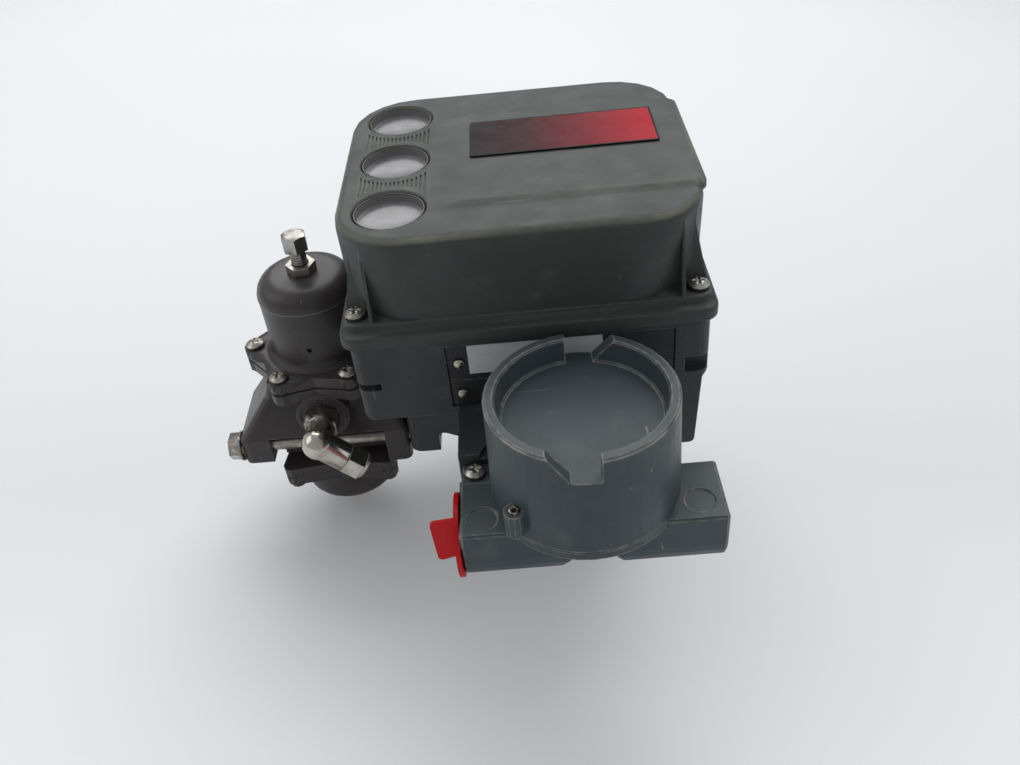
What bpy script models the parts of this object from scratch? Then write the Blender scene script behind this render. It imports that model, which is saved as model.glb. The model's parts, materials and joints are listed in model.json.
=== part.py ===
# Valve positioner lying on its back: housing, cover with three gauge windows, terminal box and filter
# regulator. The origin is the middle of the back mounting face; +Z leaves through the cover, -Y is the
# side of the terminal box, -X is the side of the regulator.
import math

import bmesh
import bpy
from mathutils import Matrix, Vector

mm = 0.001
INCH = 25.4 * mm

# Clearances
gap = 0.3 * mm              # between two pieces that seat on each other
tool_reach = 1.0 * mm       # how far a cutter stands out of what it cuts

# Housing
body_y = 2.6 * mm               # middle of the housing and cover, seen from the cover
housing_half_width = 77.4 * mm
housing_half_depth = 73.6 * mm
housing_rim_z = 97.4 * mm
housing_corner = 5.0 * mm
head_floor_z = 58.0 * mm        # underside of the wide upper part
head_floor_edge = 4.0 * mm
base_left_x = -67.0 * mm        # face that the regulator bolts to
base_right_x = 66.0 * mm
base_front_y = -33.0 * mm
base_back_y = 70.0 * mm
base_corner = 6.0 * mm
rim_cavity_half = (71.0 * mm, 65.6 * mm)
rim_cavity_corner = 25.0 * mm
rim_cavity_floor_z = 64.0 * mm
base_cavity_x = (-46.0 * mm, 50.0 * mm)
base_cavity_y = (-20.0 * mm, 52.0 * mm)
back_wall = 14.0 * mm
leg_top_x = (64.0 * mm, 74.3 * mm)
leg_bottom_x = (63.4 * mm, 72.4 * mm)
leg_bottom_z = 28.0 * mm
leg_depth = 30.0 * mm
shoulder_drop = 3.0 * mm
shoulder_z = 70.0 * mm
neck_x = (-34.3 * mm, 50.0 * mm)
neck_front_y = -103.0 * mm
neck_top_z = 62.0 * mm
neck_bottom_z = 32.0 * mm
panel_x = (-36.6 * mm, 62.0 * mm)
panel_z = (61.7 * mm, 95.4 * mm)
panel_split_z = 76.5 * mm
panel_depth = 2.2 * mm
plate_thickness = 1.1 * mm
plate_screw_inset = 5.2 * mm
plate_screw_radius = 2.6 * mm
pry_slot_left = ((-66.5 * mm, 74.6 * mm), 3.8 * mm)
pry_slot_right = ((66.4 * mm, 70.6 * mm), 8.6 * mm)
pry_slot_depth = 5.0 * mm
foot_relief = 4.5 * mm
gasket_width = 3.0 * mm
gasket_height = 1.4 * mm

# Cover
flange_half = (80.3 * mm, 75.7 * mm)
flange_corner = 7.0 * mm
flange_height = 7.3 * mm
ledge_half = (78.6 * mm, 70.4 * mm)
ledge_corner = 7.0 * mm
ledge_height = 3.1 * mm
wall_half_bottom = (78.0 * mm, 69.7 * mm)
wall_half_top = (77.2 * mm, 69.0 * mm)
wall_corners_bottom = (34.0 * mm, 38.0 * mm, 35.0 * mm, 35.0 * mm)
wall_corners_top = (27.5 * mm, 28.0 * mm, 30.0 * mm, 30.0 * mm)
cover_top_z = 147.0 * mm
cover_fillet = 3.2 * mm
cover_wall = 2.6 * mm
raised_panel_x = (-36.0 * mm, 78.4 * mm)
raised_panel_y = (-44.5 * mm, 43.0 * mm)
raised_panel_height = 1.6 * mm
raised_panel_left_slope = 11.0 * mm
raised_panel_slope = 2.2 * mm
raised_panel_corner = 5.0 * mm
raised_panel_lap = 2.4 * mm
window_x = -53.8 * mm
window_middle_y = 2.8 * mm
window_pitch = 43.7 * mm
window_radius = 15.4 * mm
window_well_depth = 7.4 * mm
window_well_wall = 2.2 * mm
window_lip = 0.9 * mm
grip_groove_count = 16
grip_groove_pitch = 1.9 * mm
grip_groove_width = 0.9 * mm
grip_groove_depth = 0.8 * mm
grip_groove_margin = 4.3 * mm
cover_screw_at = (73.0 * mm, 62.6 * mm)
cover_screw_radius = 2.2 * mm
cover_screw_length = 20.0 * mm
rib_thickness = 1.3 * mm
rib_height = 33.0 * mm
rib_offset = 7.2 * mm
label_x = (-19.7 * mm, 64.7 * mm)
label_y = (-4.2 * mm, 30.6 * mm)
label_thickness = 0.5 * mm
lens_thickness = 2.6 * mm

# Module inside the housing
module_half = (67.0 * mm, 61.0 * mm)
module_corner = 21.0 * mm
module_thickness = 9.0 * mm
gauge_radius = 13.6 * mm
gauge_stem_radius = 6.0 * mm
gauge_case_height = 22.0 * mm
gauge_dial_depth = 3.2 * mm
pointer_length = 9.5 * mm
pointer_gap_below_lens = 3.0 * mm
relay_radius = 19.0 * mm
relay_height = 26.0 * mm
relay_at = (32.0 * mm, -28.0 * mm)
converter_radius = 15.0 * mm
converter_height = 30.0 * mm
converter_at = (-12.0 * mm, -30.0 * mm)
board_x = (-18.0 * mm, 60.0 * mm)
board_y = (6.0 * mm, 54.0 * mm)
board_height = 36.0 * mm

# Travel sensor
sensor_at = (0.0, 22.0 * mm)
sensor_shaft_radius = 4.0 * mm
sensor_shaft_end_z = -20.0 * mm
bushing_radius = 7.0 * mm
bushing_flange_radius = 9.5 * mm
bushing_flange = 2.0 * mm
potentiometer_radius = 11.0 * mm
potentiometer_height = 20.0 * mm
arm_length = 62.0 * mm
arm_width = 11.0 * mm
arm_thickness = 3.0 * mm
arm_face_z = -6.5 * mm
arm_hub_radius = 8.5 * mm
arm_hub_length = 11.0 * mm
arm_slot = (30.0 * mm, 2.1 * mm)
bias_wire_radius = 0.6 * mm
bias_coil_radius = 7.2 * mm
bias_turns = 2
vent_at = (40.0 * mm, 42.0 * mm)
vent_radius = 9.0 * mm
vent_stem_radius = 5.0 * mm
port_y = (22.0 * mm, 46.0 * mm)
port_z = 30.0 * mm
port_radius = 6.8 * mm
port_depth = 13.0 * mm

# Terminal box
box_axis = (18.0 * mm, -117.0 * mm)
cap_radius = 38.0 * mm
cap_skirt_radius = 39.0 * mm     # the cap widens a little towards its lower edge
cap_top_z = 104.0 * mm
cap_bottom_z = 56.6 * mm
cap_wall = 3.7 * mm
cap_dish_depth = 10.8 * mm
cap_rim_inner = 33.4 * mm
cap_dish_floor_radius = 31.6 * mm
cap_notch_floor = (-7.3 * mm, 4.0 * mm)
cap_notch_slant = 9.5 * mm
cap_notch_reach = 9.0 * mm
cap_boss_angle = 224.0
cap_boss_reach = 40.8 * mm
cap_boss_radius = 4.2 * mm
cap_boss_z = (60.3 * mm, 71.8 * mm)
set_screw_radius = 2.3 * mm
set_screw_length = 6.0 * mm
box_rim_height = 4.8 * mm
box_bowl_bottom_z = 42.0 * mm
box_bowl_radius = 26.0 * mm
box_chamber_radius = 29.0 * mm
box_chamber_floor_z = 46.0 * mm
box_neck_top_z = 86.0 * mm
o_ring_radius = 0.9 * mm
o_ring_height = 2.2 * mm         # of its middle above the cap's lower edge
conduit_x = (-34.3 * mm, 72.8 * mm)
conduit_y = -127.0 * mm
conduit_z = 40.0 * mm
conduit_radius = 16.0 * mm
conduit_bore = 10.5 * mm
conduit_bore_depth = 29.0 * mm
conduit_edge = 1.0 * mm
conduit_gap_top = (13.0 * mm, 25.0 * mm)
conduit_gap_bottom = (3.0 * mm, 34.0 * mm)
conduit_gap_top_z = 42.0 * mm
conduit_mark_radius = 6.3 * mm
conduit_mark_depth = 0.5 * mm
conduit_marks = ((-24.9 * mm, -134.0 * mm), (62.5 * mm, -133.0 * mm))
ear_front_y = -111.0 * mm
ear_thickness = 5.0 * mm
ear_screw_at = (-27.4 * mm, -108.3 * mm)
ear_screw_radius = 2.3 * mm
block_height = 18.0 * mm
block_screws = 4
plug_disc_radius = 17.6 * mm
plug_disc = 2.0 * mm
plug_length = 18.0 * mm
plug_wall = 1.4 * mm
plug_tab = (11.0 * mm, 23.5 * mm, 1.8 * mm)

# Filter regulator
reg_axis = (-107.5 * mm, 0.0)
reg_link_x = (-79.5 * mm, base_left_x - gap)
reg_lug_x = (-155.0 * mm, -139.5 * mm)
reg_back_lug_x = (-139.5 * mm, -127.0 * mm)
reg_lug_bottom_z = -1.0 * mm
reg_link_z = (-7.0 * mm, 13.4 * mm)
reg_half_depth = 30.5 * mm
reg_body_radius = 27.0 * mm
reg_core_radius = 20.0 * mm
reg_shoulder_z = 33.0 * mm
reg_shoulder_x = (-139.0 * mm, -76.0 * mm)
reg_shoulder_half = 20.0 * mm
reg_flange_z = 46.0 * mm
reg_flange = 5.6 * mm
reg_screw_circle = 34.0 * mm
reg_screw_count = 6
reg_lobe_radius = 5.7 * mm
reg_valley_radius = 31.0 * mm
reg_screw_radius = 2.3 * mm
reg_screw_length = 12.0 * mm
reg_port_z = 29.0 * mm
reg_port_radius = 13.6 * mm
reg_port_face_y = -32.0 * mm
reg_port_bore = 6.5 * mm
reg_port_depth = 17.0 * mm
reg_bolt_y = 23.5 * mm
reg_bolt_z = 6.0 * mm
reg_bolt_radius = 3.9 * mm
reg_bolt_head = (12.7 * mm, 5.4 * mm)
reg_bolt_end_x = -52.0 * mm
case_flange = 5.7 * mm
case_radius = 24.0 * mm
case_foot_fillet = 4.0 * mm
case_seam_z = 85.4 * mm
case_top_z = 95.6 * mm
case_dome = 9.5 * mm
case_lip = 0.3 * mm
case_wall = 3.6 * mm
case_vent_z = 64.7 * mm
case_vent_radius = 1.3 * mm
diaphragm_thickness = 0.8 * mm
head_plate = (17.0 * mm, 2.6 * mm)
head_stem_radius = 3.0 * mm
adjust_radius = 3.95 * mm
adjust_head = (11.0 * mm, 8.4 * mm)
adjust_top_z = 116.4 * mm
adjust_pitch = INCH / 18
lock_nut_size = (12.7 * mm, 4.4 * mm)
seat_radius = 15.5 * mm
seat_thickness = 3.6 * mm
seat_top_z = 82.5 * mm
spring_wire_radius = 1.5 * mm
spring_coil_radius = 12.5 * mm
spring_turns = 5
valve_radius = 5.0 * mm
valve_stem_radius = 1.6 * mm
valve_z = (12.0 * mm, 24.0 * mm)
valve_bore = 6.5 * mm
bowl_flange_z = -14.3 * mm
bowl_flange = 5.7 * mm
bowl_screw_circle = 35.2 * mm
bowl_screw_count = 4
bowl_lobe_radius = 5.5 * mm
bowl_radius = 26.0 * mm
bowl_bottom_z = -40.5 * mm
bowl_wall = 3.0 * mm
bowl_fillet = 7.0 * mm
bowl_boss_radius = 7.0 * mm
filter_radius = (14.0 * mm, 9.5 * mm)
filter_z = (-22.0 * mm, 5.0 * mm)
drain_radius = (6.0 * mm, 3.0 * mm)
drain_z = (-57.0 * mm, -34.0 * mm)

# Inlet elbow
elbow_hex = (15.5 * mm, 9.0 * mm)
elbow_knee_y = -52.0 * mm
elbow_radius = 7.2 * mm
elbow_droop = 43.0
elbow_reach = 15.0 * mm
elbow_stub_radius = 5.0 * mm
elbow_stub = 5.0 * mm
tube_bore = 3.4 * mm
elbow_nut_size = (14.3 * mm, 11.0 * mm)

# Facets of round surfaces: large seen ones, smaller seen ones, and bores
fine = 36
medium = 24
small = 12
bore = 8

# Screw heads
pan_head_radius = 4.8 * mm
pan_head_height = 3.2 * mm
cross_recess = (5.2 * mm, 1.1 * mm, 1.3 * mm)

# Derived places
housing_y = (body_y - housing_half_depth, body_y + housing_half_depth)
cover_bottom_z = housing_rim_z + gap
ledge_z = cover_bottom_z + flange_height + ledge_height
module_z = rim_cavity_floor_z + gap
module_top_z = module_z + module_thickness
window_ys = [window_middle_y + step * window_pitch for step in (-1, 0, 1)]
well_bottom_z = cover_top_z - window_well_depth
lens_top_z = well_bottom_z - gap
lens_bottom_z = lens_top_z - lens_thickness
gauge_top_z = lens_bottom_z - pointer_gap_below_lens + gap
cap_inner_radius = cap_radius - cap_wall
cap_inner_top_z = cap_top_z - cap_dish_depth - cap_wall
box_neck_radius = cap_inner_radius - gap
box_rim_top_z = cap_bottom_z - gap
conduit_top_z = conduit_z + conduit_radius
ear_top_z = conduit_top_z + 0.15 * mm
ear_low_z = ear_top_z - ear_thickness
sensor_tip_z = back_wall + bushing_flange + 12.0 * mm
reg_gasket_z = reg_flange_z + gap
case_bottom_z = reg_gasket_z + diaphragm_thickness + gap
case_flange_top_z = case_bottom_z + case_flange
spring_bottom_z = case_bottom_z + head_plate[1] + 2 * gap
spring_top_z = seat_top_z - seat_thickness - gap

for old in list(bpy.data.objects):
    bpy.data.objects.remove(old)


def new_group(name):
    group = bpy.data.collections.new(name)
    bpy.context.scene.collection.children.link(group)
    return group


CORNERS = ((-1, -1), (1, -1), (1, 1), (-1, 1))      # front left, front right, back right, back left

PARTS = new_group("valve_positioner")
TOOLS = new_group("cutters_and_guides")


# Materials

def material(name, colour, roughness, metallic=0.0):
    made = bpy.data.materials.new(name)
    made.use_nodes = True
    shader = made.node_tree.nodes["Principled BSDF"]
    shader.inputs["Base Color"].default_value = (*colour, 1.0)
    shader.inputs["Roughness"].default_value = roughness
    shader.inputs["Metallic"].default_value = metallic
    return made


HOUSING_PAINT = material("housing_paint", (0.055, 0.062, 0.066), 0.5)
COVER_PLASTIC = material("cover_plastic", (0.10, 0.12, 0.115), 0.45)
BOX_PAINT = material("box_paint", (0.075, 0.10, 0.11), 0.42)
REGULATOR_PAINT = material("regulator_paint", (0.06, 0.054, 0.058), 0.45)
STEEL = material("screw_steel", (0.55, 0.53, 0.48), 0.3, 1.0)
NICKEL = material("nickel_plate", (0.62, 0.6, 0.55), 0.18, 1.0)
ALUMINIUM = material("aluminium", (0.6, 0.6, 0.6), 0.4, 1.0)
RUBBER = material("rubber", (0.02, 0.02, 0.02), 0.7)
RED_PLASTIC = material("red_plastic", (0.7, 0.02, 0.02), 0.4)
LABEL_FILM = material("label_film", (0.35, 0.02, 0.03), 0.35)
CLEAR_PLASTIC = material("clear_plastic", (0.75, 0.74, 0.75), 0.25)
DARK_PLASTIC = material("dark_plastic", (0.03, 0.03, 0.032), 0.5)
WHITE_DIAL = material("dial_white", (0.8, 0.8, 0.78), 0.5)
BRONZE = material("bronze", (0.5, 0.36, 0.2), 0.4, 1.0)
FELT = material("filter_felt", (0.55, 0.5, 0.4), 0.9)


# Building blocks

def link(name, mesh, group, at=(0, 0, 0), turn=(0, 0, 0)):
    made = bpy.data.objects.new(name, mesh)
    made.location = at
    made.rotation_euler = turn
    group.objects.link(made)
    return made


def tool_or_part(name, mesh, paint, at=(0, 0, 0), turn=(0, 0, 0)):
    """A part where a paint is given, and otherwise a cutter or guide that is never shown."""
    if paint:
        mesh.materials.append(paint)
        return link(name, mesh, PARTS, at, turn)
    made = link(name, mesh, TOOLS, at, turn)
    made.hide_render = True
    made.display_type = "WIRE"
    return made


def mesh_from(name, bm):
    mesh = bpy.data.meshes.new(name)
    bm.to_mesh(mesh)
    bm.free()
    mesh.shade_smooth()
    mesh.set_sharp_from_angle(angle=math.radians(35))
    return mesh


def block(name, x, y, z, paint=None):
    """A box from the lower to the higher value on each axis."""
    centre = Matrix.Translation((sum(x) / 2, sum(y) / 2, sum(z) / 2))
    size = Matrix.Diagonal((x[1] - x[0], y[1] - y[0], z[1] - z[0], 1))
    bm = bmesh.new()
    bmesh.ops.create_cube(bm, size=1, matrix=centre @ size)
    return tool_or_part(name, mesh_from(name, bm), paint)


def rod(name, radius, start, end, paint=None, sides=medium, tip_radius=None, spin=0.0, origin=(0, 0, 0)):
    """A cylinder or cone between two points; six sides make a hexagon."""
    start, end = Vector(start) - Vector(origin), Vector(end) - Vector(origin)
    along = end - start
    aim = Vector((0, 0, 1)).rotation_difference(along).to_matrix().to_4x4()
    place = Matrix.Translation((start + end) / 2) @ aim @ Matrix.Rotation(spin, 4, "Z")
    bm = bmesh.new()
    bmesh.ops.create_cone(bm, cap_ends=True, segments=sides, radius1=radius, depth=along.length,
                          radius2=radius if tip_radius is None else tip_radius, matrix=place)
    return tool_or_part(name, mesh_from(name, bm), paint, at=origin)


def hexagon(name, across_flats, start, end, paint=None, spin=0.0, origin=(0, 0, 0)):
    return rod(name, across_flats / math.sqrt(3), start, end, paint, sides=6, spin=spin, origin=origin)


def turned(name, profile, at, paint=None, sides=fine, turn=(0, 0, 0), closed=False):
    """A profile of (radius, height) points, top to bottom down its outer side, turned about Z."""
    bm = bmesh.new()
    points = [bm.verts.new((radius, 0, height)) for radius, height in profile]
    for first, second in zip(points, points[1:] + (points[:1] if closed else [])):
        bm.edges.new((first, second))
    mesh = bpy.data.meshes.new(name)
    bm.to_mesh(mesh)
    bm.free()
    made = tool_or_part(name, mesh, paint, at, turn)
    screw = made.modifiers.new("turn", "SCREW")
    screw.steps = screw.render_steps = sides
    screw.use_merge_vertices = True
    screw.merge_threshold = 0.00001
    screw.use_smooth_shade = True
    return made


def arc(centre, radius, start, end, steps):
    """Points of an arc, in degrees, both ends included."""
    angles = [math.radians(start + (end - start) * i / steps) for i in range(steps + 1)]
    return [(centre[0] + radius * math.cos(a), centre[1] + radius * math.sin(a)) for a in angles]


def rounded_rectangle(x, y, corners, steps=6):
    """Counter-clockwise from the front left; corners are one radius, or four in that order."""
    radii = corners if isinstance(corners, tuple) else (corners,) * 4
    centres = ((x[0] + radii[0], y[0] + radii[0]), (x[1] - radii[1], y[0] + radii[1]),
               (x[1] - radii[2], y[1] - radii[2]), (x[0] + radii[3], y[1] - radii[3]))
    points = []
    for i, (centre, radius) in enumerate(zip(centres, radii)):
        points += arc(centre, radius, 180 + 90 * i, 270 + 90 * i, steps)
    return points


def lobed_outline(axis, circle, count, lobe, valley, first=0.0, steps=4):
    """A flange that bulges round each of its screws and draws in between them."""
    points = []
    for i in range(count):
        middle = first + 360 / count * i
        screw = (axis[0] + circle * math.cos(math.radians(middle)),
                 axis[1] + circle * math.sin(math.radians(middle)))
        points += arc(screw, lobe, middle - 72, middle + 72, steps)
        between = math.radians(middle + 180 / count)
        points.append((axis[0] + valley * math.cos(between), axis[1] + valley * math.sin(between)))
    return points


AXES = {"Z": Matrix.Identity(4),
        "Y": Matrix(((1, 0, 0, 0), (0, 0, -1, 0), (0, 1, 0, 0), (0, 0, 0, 1))),
        "X": Matrix(((0, 0, 1, 0), (1, 0, 0, 0), (0, 1, 0, 0), (0, 0, 0, 1)))}


def prism(name, outlines, span, paint=None, along="Z", origin=(0, 0, 0)):
    """A flat outline, with any holes after it, extruded along an axis over a span.

    The curve is drawn in millimetres, because its fill drops very small triangles."""
    curve = bpy.data.curves.new(name, "CURVE")
    curve.dimensions = "2D"
    curve.fill_mode = "BOTH"
    curve.extrude = (span[1] - span[0]) / 2 / mm
    for outline in outlines:
        spline = curve.splines.new("POLY")
        spline.points.add(len(outline) - 1)
        spline.use_cyclic_u = True
        for point, (u, v) in zip(spline.points, outline):
            point.co = (u / mm, v / mm, 0, 1)
    flat = link(name + "_curve", curve, TOOLS)
    bpy.context.view_layer.update()
    mesh = bpy.data.meshes.new_from_object(flat.evaluated_get(bpy.context.evaluated_depsgraph_get()))
    bpy.data.objects.remove(flat)
    middle = (span[0] + span[1]) / 2
    lift = Matrix.Translation((0, 0, -middle if along == "Y" else middle))
    bm = bmesh.new()
    bm.from_mesh(mesh)
    bpy.data.meshes.remove(mesh)
    bmesh.ops.remove_doubles(bm, verts=bm.verts, dist=0.001)
    if len(outlines) == 1:
        for sign in (-1, 1):
            cap = [face for face in bm.faces if all(sign * vert.co.z > 0 for vert in face.verts)]
            bmesh.ops.dissolve_faces(bm, faces=cap)
    place = Matrix.Translation(-Vector(origin)) @ AXES[along] @ lift @ Matrix.Scale(mm, 4)
    bmesh.ops.transform(bm, matrix=place, verts=bm.verts)
    bmesh.ops.recalc_face_normals(bm, faces=bm.faces)
    return tool_or_part(name, mesh_from(name, bm), paint, at=origin)


def loft(name, rings, paint=None):
    """Rings of equally many points, bottom to top and counter-clockwise, skinned and capped."""
    bm = bmesh.new()
    loops = [[bm.verts.new(point) for point in ring] for ring in rings]
    count = len(loops[0])
    for low, high in zip(loops, loops[1:]):
        for i in range(count):
            j = (i + 1) % count
            bm.faces.new((low[i], low[j], high[j], high[i]))
    bm.faces.new(loops[0][::-1])
    bm.faces.new(loops[-1])
    return tool_or_part(name, mesh_from(name, bm), paint)


def ring_at(half, corners, z, inset=0.0, steps=6):
    """One ring of a loft: a rounded rectangle about the body's middle, drawn in by an inset."""
    radii = corners if isinstance(corners, tuple) else (corners,) * 4
    shrunk = tuple(max(radius - inset, 0.2 * mm) for radius in radii)
    x, y = half[0] - inset, half[1] - inset
    return [(u, v, z) for u, v in rounded_rectangle((-x, x), (body_y - y, body_y + y), shrunk, steps)]


def combine(body, tools, operation):
    for tool in tools:
        step = body.modifiers.new(tool.name, "BOOLEAN")
        step.operation = operation
        step.solver = "EXACT"
        step.object = tool
    return body


def carve(body, *tools):
    return combine(body, tools, "DIFFERENCE")


def fuse(body, *tools):
    return combine(body, tools, "UNION")


def soften(body, width, segments=2, angle=40):
    edge = body.modifiers.new("edge", "BEVEL")
    edge.width = width
    edge.segments = segments
    edge.limit_method = "ANGLE"
    edge.angle_limit = math.radians(angle)
    return body


def coil(name, axis, radius, wire, z, turns, paint, steps=14, end_turns=0.0):
    """A round-wire coil about a vertical axis, its end turns closed up flat."""
    curve = bpy.data.curves.new(name, "CURVE")
    curve.dimensions = "3D"
    curve.bevel_depth = wire
    curve.bevel_resolution = 2
    curve.use_fill_caps = True
    spline = curve.splines.new("POLY")
    count = int(turns * steps)
    spline.points.add(count)
    low, high = z[0] + wire, z[1] - wire
    closed = 2 * wire * end_turns
    for i, point in enumerate(spline.points):
        turn = i / steps
        share = min(max((turn - end_turns) / (turns - 2 * end_turns), 0), 1)
        height = low + closed * min(turn, end_turns) / max(end_turns, 1)
        height += share * (high - low - 2 * closed)
        height += closed * max(turn - turns + end_turns, 0) / max(end_turns, 1)
        angle = 2 * math.pi * turn
        point.co = (radius * math.cos(angle), radius * math.sin(angle), height, 1)
    made = link(name, curve, PARTS, at=(axis[0], axis[1], 0))
    curve.materials.append(paint)
    return made


def polar(axis, radius, degrees):
    angle = math.radians(degrees)
    return axis[0] + radius * math.cos(angle), axis[1] + radius * math.sin(angle)


def pan_screw(name, at, seat_z, radius, length):
    """A pan head screw with a cross recess, seated on a face that looks up."""
    low = seat_z + gap
    top = low + pan_head_height
    profile = [(0, top)] + [(pan_head_radius * math.sin(a), low + pan_head_height * math.cos(a) ** 0.7)
                            for a in (math.radians(d) for d in (35, 70))]
    profile += [(pan_head_radius, low), (radius, low), (radius, seat_z - length), (0, seat_z - length)]
    screw = turned(name, profile, (*at, 0), STEEL, sides=12)
    long, wide, deep = (size / 2 for size in cross_recess)
    cross = [(long, -wide), (long, wide), (wide, wide), (wide, long), (-wide, long), (-wide, wide),
             (-long, wide), (-long, -wide), (-wide, -wide), (-wide, -long), (wide, -long), (wide, -wide)]
    carve(screw, prism(f"{name}_recess", [[(at[0] + u, at[1] + v) for u, v in cross]],
                       (top - 2 * deep, top + tool_reach)))
    return screw


# Housing

def head_outline():
    """The upper part seen from the front: a wide block whose right shoulder draws in to the leg."""
    left, right = -housing_half_width, housing_half_width
    corner = (left + head_floor_edge, head_floor_z + head_floor_edge)
    return [(left, housing_rim_z)] + arc(corner, head_floor_edge, 180, 270, 4) + [
        (leg_bottom_x[0], head_floor_z), (leg_bottom_x[0], shoulder_z - shoulder_drop),
        (leg_top_x[1], shoulder_z - shoulder_drop), (right, shoulder_z), (right, housing_rim_z)]


def make_housing():
    plan = rounded_rectangle((-housing_half_width, housing_half_width), housing_y, housing_corner, 4)
    housing = prism("housing", [plan], (head_floor_z, housing_rim_z), HOUSING_PAINT)
    outline = prism("head_front_outline", [head_outline()],
                    (housing_y[0] - tool_reach, housing_y[1] + tool_reach), along="Y")
    combine(housing, [outline], "INTERSECT")

    base_plan = rounded_rectangle((base_left_x, base_right_x), (base_front_y, base_back_y), base_corner, 4)
    base = prism("housing_base", [base_plan], (0, head_floor_z + tool_reach))
    leg_outline = [(leg_top_x[0], shoulder_z), (leg_bottom_x[0], leg_bottom_z)]
    leg_outline += arc((leg_bottom_x[1] - 2.5 * mm, leg_bottom_z + 2.5 * mm), 2.5 * mm, 270, 360, 3)
    leg_outline += [(leg_top_x[1], shoulder_z - shoulder_drop), (leg_top_x[1], shoulder_z)]
    leg = prism("housing_leg", [leg_outline], (housing_y[0], housing_y[0] + leg_depth), along="Y")
    neck = block("housing_neck", neck_x, (neck_front_y, housing_y[0] + tool_reach),
                 (neck_bottom_z, neck_top_z))
    neck_root = block("housing_neck_root", neck_x, (housing_y[0], base_front_y + tool_reach),
                      (neck_bottom_z, head_floor_z + tool_reach))
    shelf = block("housing_shelf", (conduit_x[0] + 1.4 * mm, ear_screw_at[0] + 8 * mm),
                  (ear_front_y, neck_front_y + tool_reach),
                  (neck_bottom_z, ear_low_z - gap))
    fuse(housing, base, leg, neck, neck_root, shelf)

    box_room = rod("terminal_box_room", cap_skirt_radius + 2 * gap, (*box_axis, neck_bottom_z - tool_reach),
                   (*box_axis, cap_top_z), sides=fine)
    sweep = rod("cap_boss_room", cap_boss_reach + cap_boss_radius + gap,
                (*box_axis, cap_boss_z[0] - 2 * gap), (*box_axis, neck_top_z + 0.5 * mm), sides=fine)
    cavity = prism("module_cavity", [[p[:2] for p in ring_at(rim_cavity_half, rim_cavity_corner, 0)]],
                   (rim_cavity_floor_z, housing_rim_z + tool_reach))
    pit_plan = rounded_rectangle(base_cavity_x, base_cavity_y, 8 * mm, 3)
    pit = prism("sensor_cavity", [pit_plan], (back_wall, rim_cavity_floor_z + tool_reach))
    rebate_plan = ring_at(rim_cavity_half, rim_cavity_corner, 0, -gasket_width)
    rebate = prism("gasket_rebate", [[point[:2] for point in rebate_plan]],
                   (housing_rim_z - gasket_height - gap, housing_rim_z + tool_reach))
    panel = block("nameplate_recess", panel_x, (housing_y[0] - tool_reach, housing_y[0] + panel_depth), panel_z)
    carve(housing, box_room, sweep, cavity, pit, rebate, panel)

    front_y = (housing_y[0] - tool_reach, housing_y[0] + pry_slot_depth)
    (left_x, left_z), left_high = pry_slot_left
    (right_x, right_z), right_high = pry_slot_right
    carve(housing,
          block("pry_slot_left", (-housing_half_width - tool_reach, left_x), front_y,
                (left_z, left_z + left_high)),
          block("pry_slot_right", (right_x, housing_half_width + tool_reach), front_y,
                (right_z, right_z + right_high)))
    carve(housing, rod("bushing_bore", bushing_radius + gap, (*sensor_at, -tool_reach),
                       (*sensor_at, back_wall + tool_reach)))
    for i, (sx, sy) in enumerate(CORNERS):
        x, y = sx * cover_screw_at[0], body_y + sy * cover_screw_at[1]
        depth = ledge_z - cover_screw_length - 2 * mm
        carve(housing, rod(f"cover_screw_hole_{i}", cover_screw_radius + gap, (x, y, depth),
                           (x, y, housing_rim_z + tool_reach), sides=bore))
    arch = [(-51.2 * mm, -tool_reach), (-51.2 * mm, 9.0 * mm)]
    arch += arc((-48.4 * mm, 9.0 * mm), 2.8 * mm, 180, 60, 4) + [(-30 * mm, 3.5 * mm), (-20 * mm, -tool_reach)]
    carve(housing, prism("front_arch", [arch], (base_front_y - tool_reach, base_front_y + 14 * mm), along="Y"))
    relief = rounded_rectangle((-50 * mm, 50 * mm), (33 * mm, 50 * mm), 4 * mm, 2)
    carve(housing, prism("back_relief", [relief], (-tool_reach, foot_relief)))
    carve(housing, rod("vent_hole", vent_stem_radius + gap, (*vent_at, -tool_reach),
                       (*vent_at, back_wall + tool_reach), sides=small))
    for side in (-1, 1):
        y = side * reg_bolt_y
        carve(housing, rod(f"regulator_bolt_hole_{side}", reg_bolt_radius + gap,
                           (base_left_x - tool_reach, y, reg_bolt_z), (reg_bolt_end_x + 2 * mm, y, reg_bolt_z),
                           sides=small))
    carve(housing, rod("supply_port", 4.5 * mm, (base_left_x - tool_reach, 0, 20 * mm),
                       (base_left_x + 15 * mm, 0, 20 * mm), sides=bore))
    for i, y in enumerate(port_y):
        carve(housing, rod(f"output_port_{i}", port_radius, (base_right_x - port_depth, y, port_z),
                           (base_right_x + tool_reach, y, port_z), sides=small))
    screw_x, screw_y = ear_screw_at
    carve(housing, rod("ear_screw_hole", ear_screw_radius + gap, (screw_x, screw_y, neck_bottom_z + 5 * mm),
                       (screw_x, screw_y, neck_top_z), sides=bore))
    for i, (x, z) in enumerate(nameplate_screws()):
        carve(housing, rod(f"nameplate_screw_hole_{i}", 1.2 * mm + gap,
                           (x, housing_y[0] - tool_reach, z), (x, housing_y[0] + 7 * mm, z),
                           sides=8))
    return housing


def nameplate_screws():
    rows = ((panel_split_z + panel_z[1]) / 2, (panel_z[0] + panel_split_z) / 2)
    return [(panel_x[0] + plate_screw_inset, z) for z in rows]


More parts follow.
